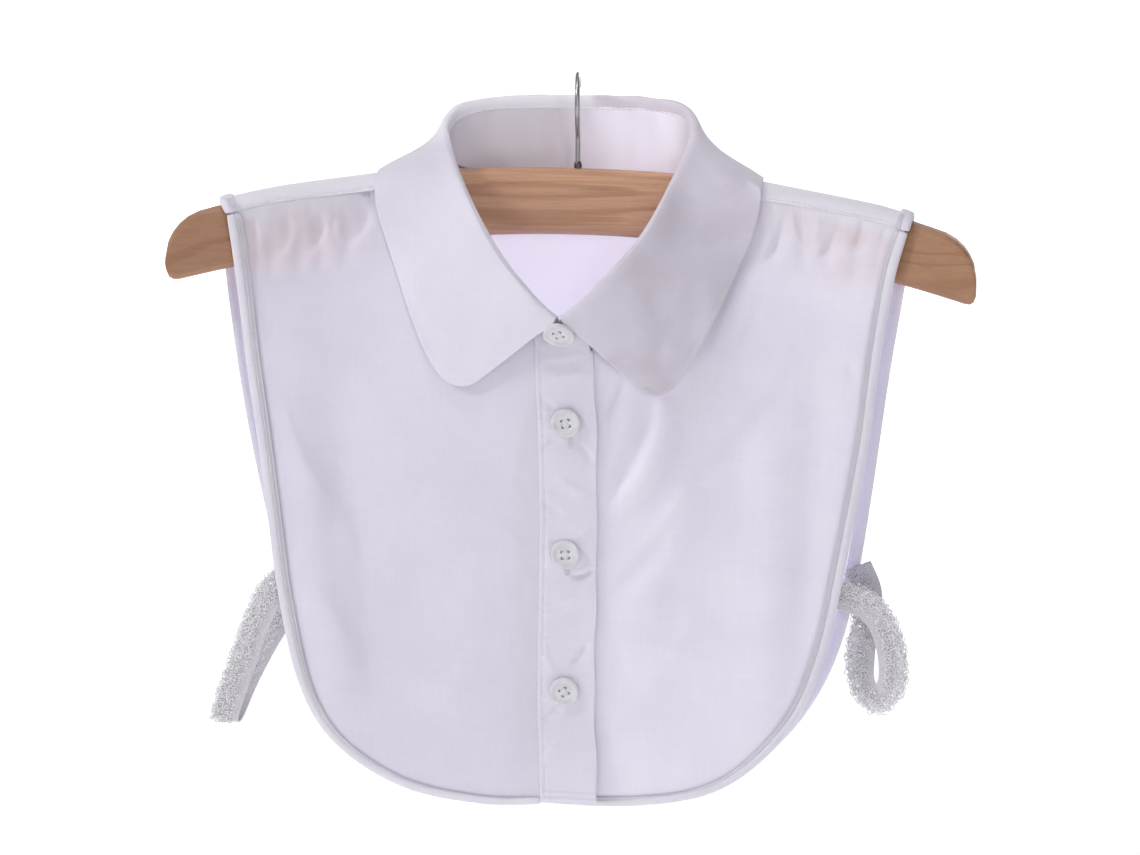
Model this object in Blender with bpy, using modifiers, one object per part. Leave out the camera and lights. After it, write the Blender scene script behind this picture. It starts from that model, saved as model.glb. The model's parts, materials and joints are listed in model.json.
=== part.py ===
# A detachable shirt collar: a sleeveless cotton false front and back with a shirt collar on a
# stand, hung on a wooden hanger with a wire hook. Sizes are in millimetres. X runs to the
# viewer's right, Y away from the viewer and Z up, from the point where the hook bears on its
# rail. Right and left are the wearer's, so the right front lies at the viewer's left.

import math

import bpy
import numpy as np
from mathutils import Matrix, Vector

MM = 0.001
MERGE = 0.0001
GAP = 0.35

# The hanger
BAR_HALF = 190.0
BAR_THICK = 12.0
BAR_BEND = 40.0
BAR_TOP = -43.4
BAR_BOTTOM = -74.9
BAR_TILT = 0.016
BAR_DROP = 18.8
BAR_DROP_AT = 164.0
BAR_CURVE = 2.3
BAR_UNDER_DROP = 17.0
BAR_UNDER_AT = 159.0
BAR_CORNER = 15.0
BAR_EDGE = 5.0
BAR_HALF_LOSS = 0.1
HOOK_WIRE = 2.2
HOOK_RADIUS = 13.5
HOOK_TIP = 62.0
HOOK_TURN = 160.0
HOOK_SET = 18.0
HOOK_SWIVEL = 6.5

# How the cloth hangs over the bar
CLOTH = 1.2
CLOTH_LIFT = 1.2
EDGE_LIFT = 1.5
OVER = 12.0
SADDLE_DROP = 7.0
SEAM = -12.5
FRONT_OUT = 9.0
FRONT_HANG = -31.0
FRONT_FORWARD = 3.0
FRONT_FALL = 50.0
FRONT_FALL_FROM = 4.0
HANG_LOW = -343.0
HANG_HIGH = -120.0
BACK_OUT = 8.6
BACK_HANG = -14.0
BACK_FALL = 140.0
BACK_FALL_FROM = -60.0
SPINE_OUT = 13.0
SPINE_SPREAD = 75.0
NECK_OUT = 23.0
NECK_SPREAD = 68.0
NAPE_OUT = 14.0
NAPE_SPREAD = 56.0
NAPE_FALL = 190.0
NAPE_FALL_FROM = -50.0

# Sewn widths and walls
STAND_WALL = 1.6
LEAF_WALL = 1.3
LEAF_ROLL = 1.9
LEAF_CLEAR = 3.5
LEAF_END = 0.985
LEAF_FRONT_ROLL = 0.9
LEAF_BOW = 1.5
LEAF_RISE = 1.4
STAND_TOP = 5.0
LEAF_GAP = 1.1
STAND_BULGE = 0.5
STAND_EDGE = 1.1
STAND_LIFT = 0.7
STAND_UNDER = 2.6
STAND_END_UNDER = 1.6
PLACKET_WIDTH = 27.0
PLACKET_WALL = 2.0
PLACKET_OUT = 0.55
PLACKET_TOP = -122.8
PLACKET_SLANT = -0.248
PLACKET_FOOT = -343.5
UNDERLAP = -24.0
UNDER = 1.7
UNDER_AT_HEM = 4.3
BINDING_WALL = 0.9
BINDING_OUT = 1.5
PANEL_INSET = 1.7
LACE_WALL = 1.1
LACE_WIDTH = 13.0
EDGE_POINTS = 120
SADDLE_POINTS = 9
HEM_CORNER = 0.7
BUTTON_HOLE = 0.85
BUTTON_HOLE_OFF = 2.0
FINE = 8


def table(columns, *rows):
    names = columns.split()
    return [dict(zip(names, row)) for row in rows]


# The roll of the collar, from the nape to the point of the V and on to the end of the lap
FOLD_LINE = table(
    "right_x left_x y z",
    (-4.0, -4.0, 17.5, -10.5),
    (-26.0, 18.0, 16.8, -10.3),
    (-46.0, 38.0, 13.5, -11.0),
    (-58.0, 49.5, 8.0, -14.0),
    (-61.8, 53.5, 1.0, -20.0),
    (-60.0, 53.3, -7.0, -28.0),
    (-56.5, 51.0, -16.0, -37.0),
    (-51.5, 47.5, -25.5, -46.0),
    (-45.5, 43.5, -34.5, -55.0),
    (-38.5, 38.5, -43.0, -65.0),
    (-30.0, 31.0, -50.5, -76.5),
    (-20.5, 21.5, -57.0, -87.5),
    (-10.5, 12.0, -61.5, -97.5),
    (0.0, 0.5, -64.5, -107.0),
    (13.7, -12.0, -63.0, -110.0),
)

# The neck seam, row by row with the roll: down is measured along the cloth from the shoulder
# fold, below zero on the front
NECK_SEAM = table(
    "right_x left_x down",
    (-3.0, -3.0, 8.0),
    (-24.0, 18.0, 8.0),
    (-44.0, 38.0, 7.5),
    (-57.0, 51.0, 5.0),
    (-62.5, 57.5, 0.0),
    (-63.5, 59.0, -6.0),
    (-62.0, 58.5, -12.5),
    (-60.0, 57.0, -19.0),
    (-55.0, 53.0, -29.0),
    (-47.0, 47.0, -40.0),
    (-37.0, 38.0, -52.0),
    (-25.0, 26.5, -66.0),
    (-12.0, 13.5, -79.5),
    (0.0, 0.5, -84.2),
    (13.7, -12.0, -87.5),
)
SHOULDER_ROW = 3
SEAM_ROW = 6
V_ROW = 13

# The outer edge of the leaf on the fronts, from the point of the collar up to the shoulder.
# Place is the share of the way from the nape to the V.
LEAF_FRONT = table(
    "place right_x right_z left_x left_z",
    (1.00, -40.5, -139.8, 38.0, -142.3),
    (0.97, -46.5, -141.4, 43.7, -144.4),
    (0.94, -53.5, -139.6, 50.2, -140.8),
    (0.90, -59.0, -134.5, 55.6, -134.2),
    (0.81, -66.5, -122.0, 62.8, -122.0),
    (0.71, -75.5, -105.0, 71.0, -106.0),
    (0.61, -82.8, -90.0, 78.2, -89.8),
    (0.53, -88.5, -75.0, 84.6, -74.5),
    (0.46, -93.0, -61.0, 89.0, -60.5),
)

# The same edge over the shoulder and across the back
LEAF_BACK = table(
    "place right_x left_x down",
    (0.41, -94.0, 89.0, -8.0),
    (0.37, -93.5, 88.5, 1.0),
    (0.31, -91.0, 86.0, 10.0),
    (0.23, -80.0, 76.0, 18.0),
    (0.12, -46.0, 41.0, 21.0),
    (0.00, -3.0, -3.0, 21.5),
)

# Armhole and hem edges, from the shoulder seam down and round to the centre
RIGHT_FRONT_EDGE = table(
    "x z",
    (-158.5, -90.0),
    (-154.7, -129.0),
    (-149.5, -169.0),
    (-144.7, -210.0),
    (-139.8, -250.0),
    (-130.0, -292.5),
    (-112.5, -320.0),
    (-79.0, -340.0),
    (-40.0, -346.5),
    (-13.9, -345.5),
)
LEFT_FRONT_EDGE = table(
    "x z",
    (151.8, -91.5),
    (145.2, -134.5),
    (141.2, -168.0),
    (131.0, -226.0),
    (121.5, -271.0),
    (105.5, -306.0),
    (73.0, -335.5),
    (28.0, -346.0),
    (-24.0, -345.5),
)
RIGHT_BACK_EDGE = table(
    "x z",
    (-167.2, -75.0),
    (-166.5, -97.0),
    (-159.6, -158.0),
    (-149.0, -213.0),
    (-137.0, -262.0),
    (-118.0, -302.0),
    (-88.0, -331.0),
    (-46.0, -345.0),
    (0.0, -347.5),
)
LEFT_BACK_EDGE = table(
    "x z",
    (158.6, -78.0),
    (156.0, -97.0),
    (149.5, -137.0),
    (141.0, -201.0),
    (131.5, -256.0),
    (117.0, -293.5),
    (90.0, -326.0),
    (50.0, -346.0),
    (0.0, -347.5),
)
RIGHT_SHOULDER = -166.8
LEFT_SHOULDER = 160.6
SEAM_ENDS = {"right_front": -161.8, "left_front": 158.3, "right_back": -162.3, "left_back": 158.8}

# The middle of the placket, which wanders a little
PLACKET_LINE = table(
    "z x",
    (-121.0, 1.0),
    (-160.0, 2.3),
    (-205.0, 2.4),
    (-250.0, 0.8),
    (-290.0, -0.5),
    (-350.0, 0.0),
)

# Where the fronts are gathered under the shoulder seam
RIGHT_GATHERS = (-151.0, -142.0, -129.0, -119.0, -107.0)
LEFT_GATHERS = (147.5, 134.0, 121.0, 109.0, 96.5)
GATHER_WIDTH = 3.6
GATHER_LENGTH = 32.0
GATHER_RISE = 1.6

# How wide each binding is along its edge
FRONT_BINDING_WIDTHS = table("share width", (0.0, 7.2), (0.55, 7.0), (0.75, 5.0), (1.0, 4.2))
BACK_BINDING_WIDTHS = table(
    "share width",
    (0.0, 6.5),
    (0.33, 6.0),
    (0.5, 4.4),
    (0.67, 6.0),
    (1.0, 6.5),
)

# The largest folds of the fronts and the back, each a soft ridge, or a trough where rise is
# below zero
RIGHT_FOLDS = table(
    "x0 z0 x1 z1 width rise",
    (-131.0, -150.0, -106.0, -300.0, 12.0, 3.0),
    (-118.0, -130.0, -88.0, -290.0, 13.0, -2.4),
    (-150.0, -105.0, -118.0, -140.0, 8.0, 1.6),
    (-62.0, -165.0, -44.0, -330.0, 15.0, 2.0),
)
LEFT_FOLDS = table(
    "x0 z0 x1 z1 width rise",
    (44.0, -146.0, 20.0, -210.0, 6.0, 2.6),
    (68.0, -178.0, 26.0, -250.0, 8.0, 2.0),
    (98.0, -135.0, 92.0, -300.0, 15.0, 2.6),
    (120.0, -120.0, 112.0, -285.0, 11.0, -1.8),
    (60.0, -225.0, 52.0, -335.0, 12.0, -1.6),
)
BACK_FOLDS = table(
    "x0 z0 x1 z1 width rise",
    (-112.0, -90.0, -86.0, -320.0, 16.0, 3.0),
    (-48.0, -100.0, -30.0, -330.0, 18.0, -2.6),
    (26.0, -95.0, 22.0, -335.0, 18.0, 2.8),
    (98.0, -85.0, 74.0, -315.0, 15.0, 2.8),
    (62.0, -110.0, 50.0, -300.0, 12.0, -2.2),
)

# The elastic lace, from where it is sewn to the front to where it is sewn to the back. Turn is
# the angle of its width, from straight across to the viewer's right.
RIGHT_LACE = table(
    "x y z turn",
    (-137.5, -29.3, -239.0, -38.0),
    (-144.5, -29.3, -246.5, -32.0),
    (-151.0, -29.0, -260.0, -26.0),
    (-157.5, -28.2, -277.0, -20.0),
    (-164.5, -26.8, -296.0, -12.0),
    (-168.6, -24.4, -308.0, -4.0),
    (-168.9, -21.8, -311.5, -2.0),
    (-167.0, -19.4, -308.0, -6.0),
    (-161.0, -17.8, -293.0, -18.0),
    (-153.0, -16.8, -277.0, -26.0),
    (-146.0, -16.4, -265.0, -32.0),
    (-139.0, -16.4, -254.0, -34.0),
)
LEFT_LACE = table(
    "x y z turn",
    (124.5, -29.2, -239.5, 78.0),
    (133.0, -29.0, -242.0, 72.0),
    (141.5, -28.0, -246.0, 58.0),
    (148.5, -26.5, -255.0, 30.0),
    (152.5, -25.0, -269.0, 8.0),
    (152.5, -23.5, -283.0, -20.0),
    (146.5, -21.6, -291.5, -84.0),
    (139.3, -19.8, -285.0, -136.0),
    (137.8, -18.4, -270.0, -178.0),
    (140.5, -17.4, -254.0, -190.0),
    (140.5, -16.6, -240.0, -174.0),
    (135.5, -16.4, -228.0, -158.0),
)

BUTTONS = table(
    "x z turn",
    (2.0, -157.1, 10.0),
    (0.8, -220.4, 4.0),
    (-0.9, -287.7, 30.0),
)
STAND_BUTTON_SHARE = 0.48
STAND_BUTTON_NOD = 14.0
STAND_BUTTON_LIFT = 1.05
STAND_BUTTON_TURN = 20.0
BUTTON_ANGLE = 52.0

BUTTON_PROFILE = table(
    "radius height",
    (0.0, 1.7),
    (4.0, 1.7),
    (4.8, 2.2),
    (5.9, 2.5),
    (7.05, 1.6),
    (6.4, 0.4),
    (4.5, 0.0),
    (0.0, 0.0),
)

COTTON = {"color": (0.80, 0.78, 0.86, 1.0), "roughness": 0.85, "metallic": 0.0}
TRIM = {"color": (0.84, 0.82, 0.90, 1.0), "roughness": 0.85, "metallic": 0.0}
LACE = {"color": (0.88, 0.86, 0.90, 1.0), "roughness": 0.9, "metallic": 0.0}
WOOD = {"color": (0.50, 0.32, 0.19, 1.0), "roughness": 0.5, "metallic": 0.0}
STEEL = {"color": (0.55, 0.55, 0.56, 1.0), "roughness": 0.2, "metallic": 1.0}
PEARL = {"color": (0.82, 0.80, 0.84, 1.0), "roughness": 0.25, "metallic": 0.0}


def smooth(share):
    share = min(1.0, max(0.0, share))
    return share * share * (3.0 - 2.0 * share)


# Outline of the bar and the surface that the cloth hangs in


def bar_y(x):
    return -BAR_BEND * (x / BAR_HALF) ** 2


def bar_top(x):
    return BAR_TOP - BAR_DROP * abs(x / BAR_DROP_AT) ** BAR_CURVE - BAR_TILT * x


def bar_bottom(x):
    return BAR_BOTTOM - BAR_UNDER_DROP * (x / BAR_UNDER_AT) ** 2 - BAR_TILT * x


def fold_z(x):
    return bar_top(x) + CLOTH_LIFT + EDGE_LIFT * smooth((abs(x) - 112.0) / 36.0)


def front_y(x, z):
    below = smooth((bar_bottom(x) + FRONT_FALL_FROM - z) / FRONT_FALL)
    height = min(1.0, max(0.0, (z - HANG_LOW) / (HANG_HIGH - HANG_LOW)))
    neck = NECK_OUT * height * math.exp(-abs(x / NECK_SPREAD) ** 2.6)
    hang = FRONT_HANG - FRONT_FORWARD * height
    return (1.0 - below) * (bar_y(x) - FRONT_OUT) + below * hang - neck


def back_y(x, z):
    below = smooth((BACK_FALL_FROM - z) / BACK_FALL)
    high = 1.0 - smooth((NAPE_FALL_FROM - z) / NAPE_FALL)
    nape = NAPE_OUT * math.exp(-abs(x / NAPE_SPREAD) ** 3) * high
    hang = BACK_HANG + SPINE_OUT * math.exp(-((x / SPINE_SPREAD) ** 2))
    return (1.0 - below) * (bar_y(x) + BACK_OUT) + below * hang + nape


def skin(x, down):
    turn = min(1.0, abs(down) / OVER) * math.pi / 2
    z = fold_z(x) - SADDLE_DROP * (1.0 - math.cos(turn)) - max(0.0, abs(down) - OVER)
    low = min(z, fold_z(x) - SADDLE_DROP)
    side = front_y(x, low) if down < 0 else back_y(x, low)
    return np.array((x, bar_y(x) + (side - bar_y(x)) * math.sin(turn), z))


def slopes(x, down):
    step = 0.5
    across = (skin(x + step, down) - skin(x - step, down)) / (2 * step)
    along = (skin(x, down + step) - skin(x, down - step)) / (2 * step)
    return across, along


def unit(vector):
    return vector / np.linalg.norm(vector)


def cloth_normal(x, down):
    across, along = slopes(x, down)
    return unit(np.cross(across, along))


def cloth(x, down, out=0.0):
    return skin(x, down) + out * cloth_normal(x, down)


def front_down(x, z):
    return -(OVER + fold_z(x) - SADDLE_DROP - z)


def back_down(x, z):
    return OVER + fold_z(x) - SADDLE_DROP - z


# Curves through the tables


def values(rows, columns):
    return np.array([[row[name] for name in columns.split()] for row in rows], float)


def through(points, steps):
    points = np.array(points, float)
    ends = np.vstack((2 * points[0] - points[1], points, 2 * points[-1] - points[-2]))
    t = np.linspace(0.0, 1.0, steps, endpoint=False)[:, None]
    fine = []
    for a, b, c, d in zip(ends, ends[1:], ends[2:], ends[3:]):
        bend = (2 * a - 5 * b + 4 * c - d) * t**2 + (3 * b - a - 3 * c + d) * t**3
        fine.append(0.5 * (2 * b + (c - a) * t + bend))
    return np.vstack(fine + [points[-1:]])


def sampled(marks, points, places):
    return np.stack([np.interp(places, marks, column) for column in points.T], axis=-1)


def evenly(points, shares):
    lengths = np.linalg.norm(np.diff(points, axis=0), axis=1)
    marks = np.concatenate(([0.0], np.cumsum(lengths)))
    return sampled(marks, points, np.asarray(shares) * marks[-1])


def shares_along(points):
    lengths = np.linalg.norm(np.diff(points, axis=0), axis=1)
    return np.concatenate(([0.0], np.cumsum(lengths))) / lengths.sum()


# The neck ring. Its place runs from -1 at the V up the right side to 0 at the nape and down the
# left side to 1, and past either end along the lap.
SIDES = ("right", "left")
FOLD_FINE = {side: through(values(FOLD_LINE, side + "_x y z"), FINE) for side in SIDES}
NECK_FINE = {side: through(values(NECK_SEAM, side + "_x down"), FINE) for side in SIDES}
LAP_END = (len(NECK_SEAM) - 1) / V_ROW


def ring(fine, place):
    points = fine["right" if place < 0 else "left"]
    return sampled(np.linspace(0.0, LAP_END, len(points)), points, abs(place))


# The left end of the stand passes inside the right one
def ring_sink(place):
    under = STAND_UNDER * smooth((place - 0.70) / 0.2)
    return under + STAND_END_UNDER * smooth((place - 1.0) / 0.07)


def ring_frame(place):
    step = 0.01
    if abs(place) < 2 * step:
        tangent = np.array((1.0, 0.0, 0.0))
    else:
        tangent = ring(FOLD_FINE, place + step) - ring(FOLD_FINE, place - step)
    outside = unit(np.array((-tangent[1], tangent[0], 0.0)))
    seam = cloth(*ring(NECK_FINE, place)) - outside * ring_sink(place)
    roll = ring(FOLD_FINE, place) - outside * ring_sink(place)
    up = unit(roll - seam)
    return seam, roll, up, unit(outside - up * outside.dot(up))


def leaf_edge(side):
    edge = []
    for row in LEAF_FRONT:
        x = row[side + "_x"]
        edge.append((row["place"], x, front_down(x, row[side + "_z"])))
    for row in LEAF_BACK:
        edge.append((row["place"], row[side + "_x"], row["down"]))
    return through(edge, FINE)[::-1]


LEAF_EDGE = {side: leaf_edge(side) for side in SIDES}


# Armhole and hem lines in x and down


def edge_line(head, rows, to_down):
    body = [(row["x"], to_down(row["x"], row["z"])) for row in rows]
    return evenly(through(head + body, FINE), np.linspace(0.0, 1.0, EDGE_POINTS + 1))


def front_edge(name, rows):
    return edge_line([(SEAM_ENDS[name], SEAM - GAP)], rows, front_down)


def back_edge(name, shoulder, rows):
    return edge_line([(SEAM_ENDS[name], SEAM + GAP), (shoulder, 0.0)], rows, back_down)


EDGE_LINES = {
    "right_front": front_edge("right_front", RIGHT_FRONT_EDGE),
    "left_front": front_edge("left_front", LEFT_FRONT_EDGE),
    "right_back": back_edge("right_back", RIGHT_SHOULDER, RIGHT_BACK_EDGE),
    "left_back": back_edge("left_back", LEFT_SHOULDER, LEFT_BACK_EDGE),
}


# How x and down change for one millimetre along the cloth, square to an edge line
def inward_steps(line, side):
    steps = []
    for i, (x, down) in enumerate(line):
        ahead = line[min(i + 1, len(line) - 1)]
        behind = line[max(i - 1, 0)]
        across, along = slopes(x, down)
        tangent = skin(*ahead) - skin(*behind)
        inward = side * unit(np.cross(np.cross(across, along), tangent))
        step = np.linalg.lstsq(np.stack((across, along), axis=1), inward, rcond=None)[0]
        if abs(down - SEAM) < 2 * GAP:
            step = np.array((math.copysign(1.0 / np.linalg.norm(across), step[0]), 0.0))
        steps.append(step)
    return np.array(steps)


def set_in(line, side):
    return line + PANEL_INSET * inward_steps(line, side)


# Folds and gathers


def ridge(x, z, row):
    run = np.array((row["x1"] - row["x0"], row["z1"] - row["z0"]))
    away = np.array((x - row["x0"], z - row["z0"]))
    length = np.linalg.norm(run)
    share = away.dot(run) / length**2
    off = (away[0] * run[1] - away[1] * run[0]) / length
    fade = smooth((share + 0.15) / 0.4) * smooth((1.15 - share) / 0.4)
    return row["rise"] * fade * math.exp(-((off / row["width"]) ** 2))


def ridges(x, down, rows):
    z = skin(x, down)[2]
    return sum(ridge(x, z, row) for row in rows)


def gathers(x, below, places):
    depth = max(0.0, below) / (0.3 * GATHER_LENGTH)
    swell = GATHER_RISE * depth * math.exp(1.0 - depth)
    return swell * sum(math.exp(-(((x - place) / GATHER_WIDTH) ** 2)) for place in places)


# The left front passes under the placket, and further under at the hem
def lap_sink(x, down):
    near = 1.0 - smooth((x - 16.0) / 54.0)
    hem = smooth((-318.0 - skin(x, down)[2]) / 14.0)
    return near * (UNDER + (UNDER_AT_HEM - UNDER) * hem)


def no_sink(x, down):
    return 0.0


# Objects


def collection(name):
    made = bpy.data.collections.new(name)
    bpy.context.scene.collection.children.link(made)
    return made


def material(name, finish):
    made = bpy.data.materials.new(name)
    made.use_nodes = True
    shader = made.node_tree.nodes["Principled BSDF"]
    shader.inputs["Base Color"].default_value = finish["color"]
    shader.inputs["Roughness"].default_value = finish["roughness"]
    shader.inputs["Metallic"].default_value = finish["metallic"]
    made.diffuse_color = finish["color"]
    return made


def mesh_object(name, points, edges, faces, finish):
    mesh = bpy.data.meshes.new(name)
    mesh.from_pydata([[c * MM for c in point] for point in points], edges, faces)
    mesh.shade_smooth()
    made = bpy.data.objects.new(name, mesh)
    PARTS.objects.link(made)
    mesh.materials.append(material(name, finish))
    return made


def grid_faces(index):
    faces = []
    for upper, lower in zip(index, index[1:]):
        for a, b, c, d in zip(upper, upper[1:], lower[1:], lower):
            faces.append((int(a), int(b), int(c), int(d)))
    return faces


def solid_sheet(name, points, faces, wall, finish, even):
    made = mesh_object(name, points, [], faces, finish)
    solidify = made.modifiers.new("wall", "SOLIDIFY")
    solidify.thickness = wall * MM
    solidify.offset = 0.0
    solidify.use_even_offset = even


def sheet(name, rows, wall, finish, even=False):
    rows = np.array(rows)
    index = np.arange(rows.shape[0] * rows.shape[1]).reshape(rows.shape[:2])
    solid_sheet(name, rows.reshape(-1, 3), grid_faces(index), wall, finish, even)


# A grid between four edges, with the given shares across and along
def patch(top, bottom, first, last, across, along):
    s = np.array(across)[None, :, None]
    t = np.array(along)[:, None, None]
    between = (1 - s) * first[:, None] + s * last[:, None]
    over = (1 - t) * top[None] + t * bottom[None]
    upper = (1 - s) * top[0] + s * top[-1]
    lower = (1 - s) * bottom[0] + s * bottom[-1]
    return between + over - (1 - t) * upper - t * lower


def cut(made, name, cutter):
    cutter.name = name
    for owner in list(cutter.users_collection):
        owner.objects.unlink(cutter)
    CUTTERS.objects.link(cutter)
    cutter.hide_render = True
    cutter.display_type = "WIRE"
    boolean = made.modifiers.new(name, "BOOLEAN")
    boolean.operation = "DIFFERENCE"
    boolean.solver = "EXACT"
    boolean.object = cutter


# The hanger


def bar_section(x):
    past = max(0.0, abs(x) - BAR_HALF + BAR_CORNER)
    top = bar_top(x) - BAR_CORNER + math.sqrt(BAR_CORNER**2 - past**2)
    past = max(0.0, abs(x) - BAR_HALF + BAR_EDGE)
    bottom = bar_bottom(x) + BAR_EDGE - math.sqrt(BAR_EDGE**2 - past**2)
    half = BAR_THICK / 2 - BAR_HALF_LOSS * past
    points = []
    for corner in range(4):
        for degrees in (0.0, 30.0, 60.0, 90.0):
            angle = math.radians(degrees + 90.0 * corner)
            side_y = 1.0 if corner in (0, 3) else -1.0
            edge_z = top - BAR_EDGE if corner < 2 else bottom + BAR_EDGE
            y = bar_y(x) + side_y * (half - BAR_EDGE) + BAR_EDGE * math.cos(angle)
            points.append((x, y, edge_z + BAR_EDGE * math.sin(angle)))
    return points


def hanger_bar():
    near = (0.1, 0.2, 0.3, 0.4, 0.5, 0.6, 0.69, 0.77, 0.84, 0.89)
    places = near + (0.925, 0.95, 0.97, 0.984, 0.994, 1.0)
    stations = [-BAR_HALF * share for share in places[::-1]] + [0.0]
    stations = stations + [BAR_HALF * share for share in places]
    points = []
    for x in stations:
        points = points + bar_section(x)
    around = 16
    faces = []
    for j in range(len(stations) - 1):
        for i in range(around):
            k = (i + 1) % around
            faces.append((j * around + k, j * around + i, (j + 1) * around + i, (j + 1) * around + k))
    faces.append(tuple(range(around)))
    faces.append(tuple(range(len(points) - around, len(points)))[::-1])
    bar = mesh_object("hanger_bar", points, [], faces, WOOD)
    bpy.ops.mesh.primitive_cylinder_add(
        vertices=16,
        radius=(HOOK_WIRE / 2 + GAP) * MM,
        depth=2 * HOOK_SET * MM,
        location=(0.0, 0.0, BAR_TOP * MM),
    )
    cut(bar, "hanger_bore", bpy.context.object)


def hook_line():
    centre = HOOK_WIRE / 2 - HOOK_RADIUS
    points = []
    for degrees in np.linspace(HOOK_TIP, -HOOK_TURN, 26):
        angle = math.radians(degrees)
        points.append((HOOK_RADIUS * math.sin(angle), centre + HOOK_RADIUS * math.cos(angle)))
    # The wire turns back from the loop into the stem
    lean = math.sin(math.radians(HOOK_TURN))
    neck = HOOK_RADIUS * lean / (1.0 - lean)
    neck_y = -lean * (HOOK_RADIUS + neck)
    neck_z = centre + (HOOK_RADIUS + neck) * math.cos(math.radians(HOOK_TURN))
    for degrees in np.linspace(HOOK_TURN, 90.0, 8)[1:]:
        angle = math.radians(degrees)
        points.append((neck_y + neck * math.sin(angle), neck_z - neck * math.cos(angle)))
    for z in np.linspace(neck_z, BAR_TOP - HOOK_SET + 2.0, 6)[1:]:
        points.append((0.0, z))
    return points


def hanger_hook():
    points = hook_line()
    line = bpy.data.curves.new("hanger_hook", "CURVE")
    line.dimensions = "3D"
    line.bevel_depth = HOOK_WIRE / 2 * MM
    line.bevel_resolution = 2
    line.use_fill_caps = True
    spline = line.splines.new("POLY")
    spline.points.add(len(points) - 1)
    swivel = math.radians(HOOK_SWIVEL)
    for point, (y, z) in zip(spline.points, points):
        point.co = (-y * math.sin(swivel) * MM, y * math.cos(swivel) * MM, z * MM, 1.0)
    spline.use_smooth = True
    made = bpy.data.objects.new("hanger_hook", line)
    line.materials.append(material("hanger_hook", STEEL))
    PARTS.objects.link(made)


# The collar


# Places along the leaf, from the V back to the nape
LEAF_TIP = (1.0, 0.985, 0.97, 0.955, 0.94, 0.92, 0.89, 0.85, 0.81)
LEAF_SIDE = (0.76, 0.71, 0.66, 0.61, 0.56, 0.51, 0.46, 0.415, 0.37, 0.32, 0.26, 0.19, 0.11)


def leaf_places():
    half = list(LEAF_TIP + LEAF_SIDE)
    return [-share for share in half] + [0.0] + half[::-1]


def collar_stand():
    rows = []
    lap = [1.03, LAP_END]
    body = [place * LEAF_END for place in leaf_places()]
    for place in [-lap[1], -lap[0]] + body + lap:
        seam, roll, up, outside = ring_frame(place)
        foot = seam + up * STAND_EDGE + cloth_normal(*ring(NECK_FINE, place)) * STAND_LIFT
        top = roll - up * STAND_TOP
        middle = (foot + top) / 2 + outside * STAND_BULGE
        rows.append((foot, middle, top))
    sheet("collar_stand", rows, STAND_WALL, COTTON)


def leaf_profile(place):
    seam, roll, up, outside = ring_frame(place * LEAF_END)
    front = smooth((abs(place) - 0.6) / 0.4)
    radius = LEAF_ROLL + LEAF_FRONT_ROLL * front
    middle = roll - up * radius + outside * radius
    points = [roll - up * (STAND_TOP - LEAF_GAP)]
    for degrees in (180.0, 125.0, 70.0, 15.0):
        angle = math.radians(degrees)
        points.append(middle + radius * (outside * math.cos(angle) + up * math.sin(angle)))
    edge = LEAF_EDGE["right" if place < 0 else "left"]
    x, down = sampled(edge[:, 0], edge[:, 1:], abs(place))
    hem = cloth(x, down, LEAF_CLEAR)
    head = points[-1]
    heading = (1.0 - front) * -up + front * unit(hem - head)
    lead = head + unit(heading) * 0.25 * np.linalg.norm(hem - head)
    tail = hem + (head - hem) * 0.35 + outside * LEAF_BOW
    for t in np.linspace(0.0, 1.0, 6)[1:]:
        k = 1.0 - t
        point = k**3 * head + 3 * k * k * t * lead + 3 * k * t * t * tail + t**3 * hem
        points.append(clear_of_cloth(point, LEAF_CLEAR - 0.3 + LEAF_RISE * math.sin(math.pi * t)))
    return points


# The leaf rests a little off the cloth under it
def clear_of_cloth(point, clear):
    downs = np.linspace(-140.0, 45.0, 186)
    line = np.array([skin(point[0], down) for down in downs])
    nearest = int(np.argmin(np.linalg.norm(line - point, axis=1)))
    normal = cloth_normal(point[0], downs[nearest])
    short = clear - (point - line[nearest]).dot(normal)
    return point + normal * max(0.0, short)


def collar_leaf():
    sheet("collar_leaf", [leaf_profile(place) for place in leaf_places()], LEAF_WALL, COTTON)


# The fronts and the back


# The columns of a gathered panel lie on its gathers and between them
def seam_columns(places, inner, outer):
    stops = sorted(abs(place) for place in places)
    between = [(a + b) / 2 for a, b in zip(stops, stops[1:])]
    ahead = [inner + (stops[0] - inner) * share for share in (0.45, 0.85)]
    return sorted(ahead + stops + between + [stops[-1] + 5.0, outer])


def front_rows(name, sign, places, neck_places, first_x):
    line = set_in(EDGE_LINES[name], -sign)
    corner = int(HEM_CORNER * EDGE_POINTS)
    outer = line[: corner + 1]
    hem = line[corner:][::-1]
    neck = np.array([ring(NECK_FINE, place) for place in neck_places])
    neck[-1][1] = SEAM - GAP
    columns = seam_columns(places, abs(neck[-1][0]), abs(outer[0][0]))
    top = np.vstack((neck, [(sign * x, SEAM - GAP) for x in columns]))
    across = shares_along(top)
    along = np.linspace(0.0, 1.0, 19) ** 1.3
    bottom = evenly(hem, across)
    first_z = (1 - along) * skin(*top[0])[2] + along * skin(*hem[0])[2]
    first = np.array([(first_x(z), front_down(first_x(z), z)) for z in first_z])
    top[0] = first[0]
    bottom[0] = first[-1]
    grid = patch(top, bottom, first, evenly(outer, along), across, along)
    return across, along, grid


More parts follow.
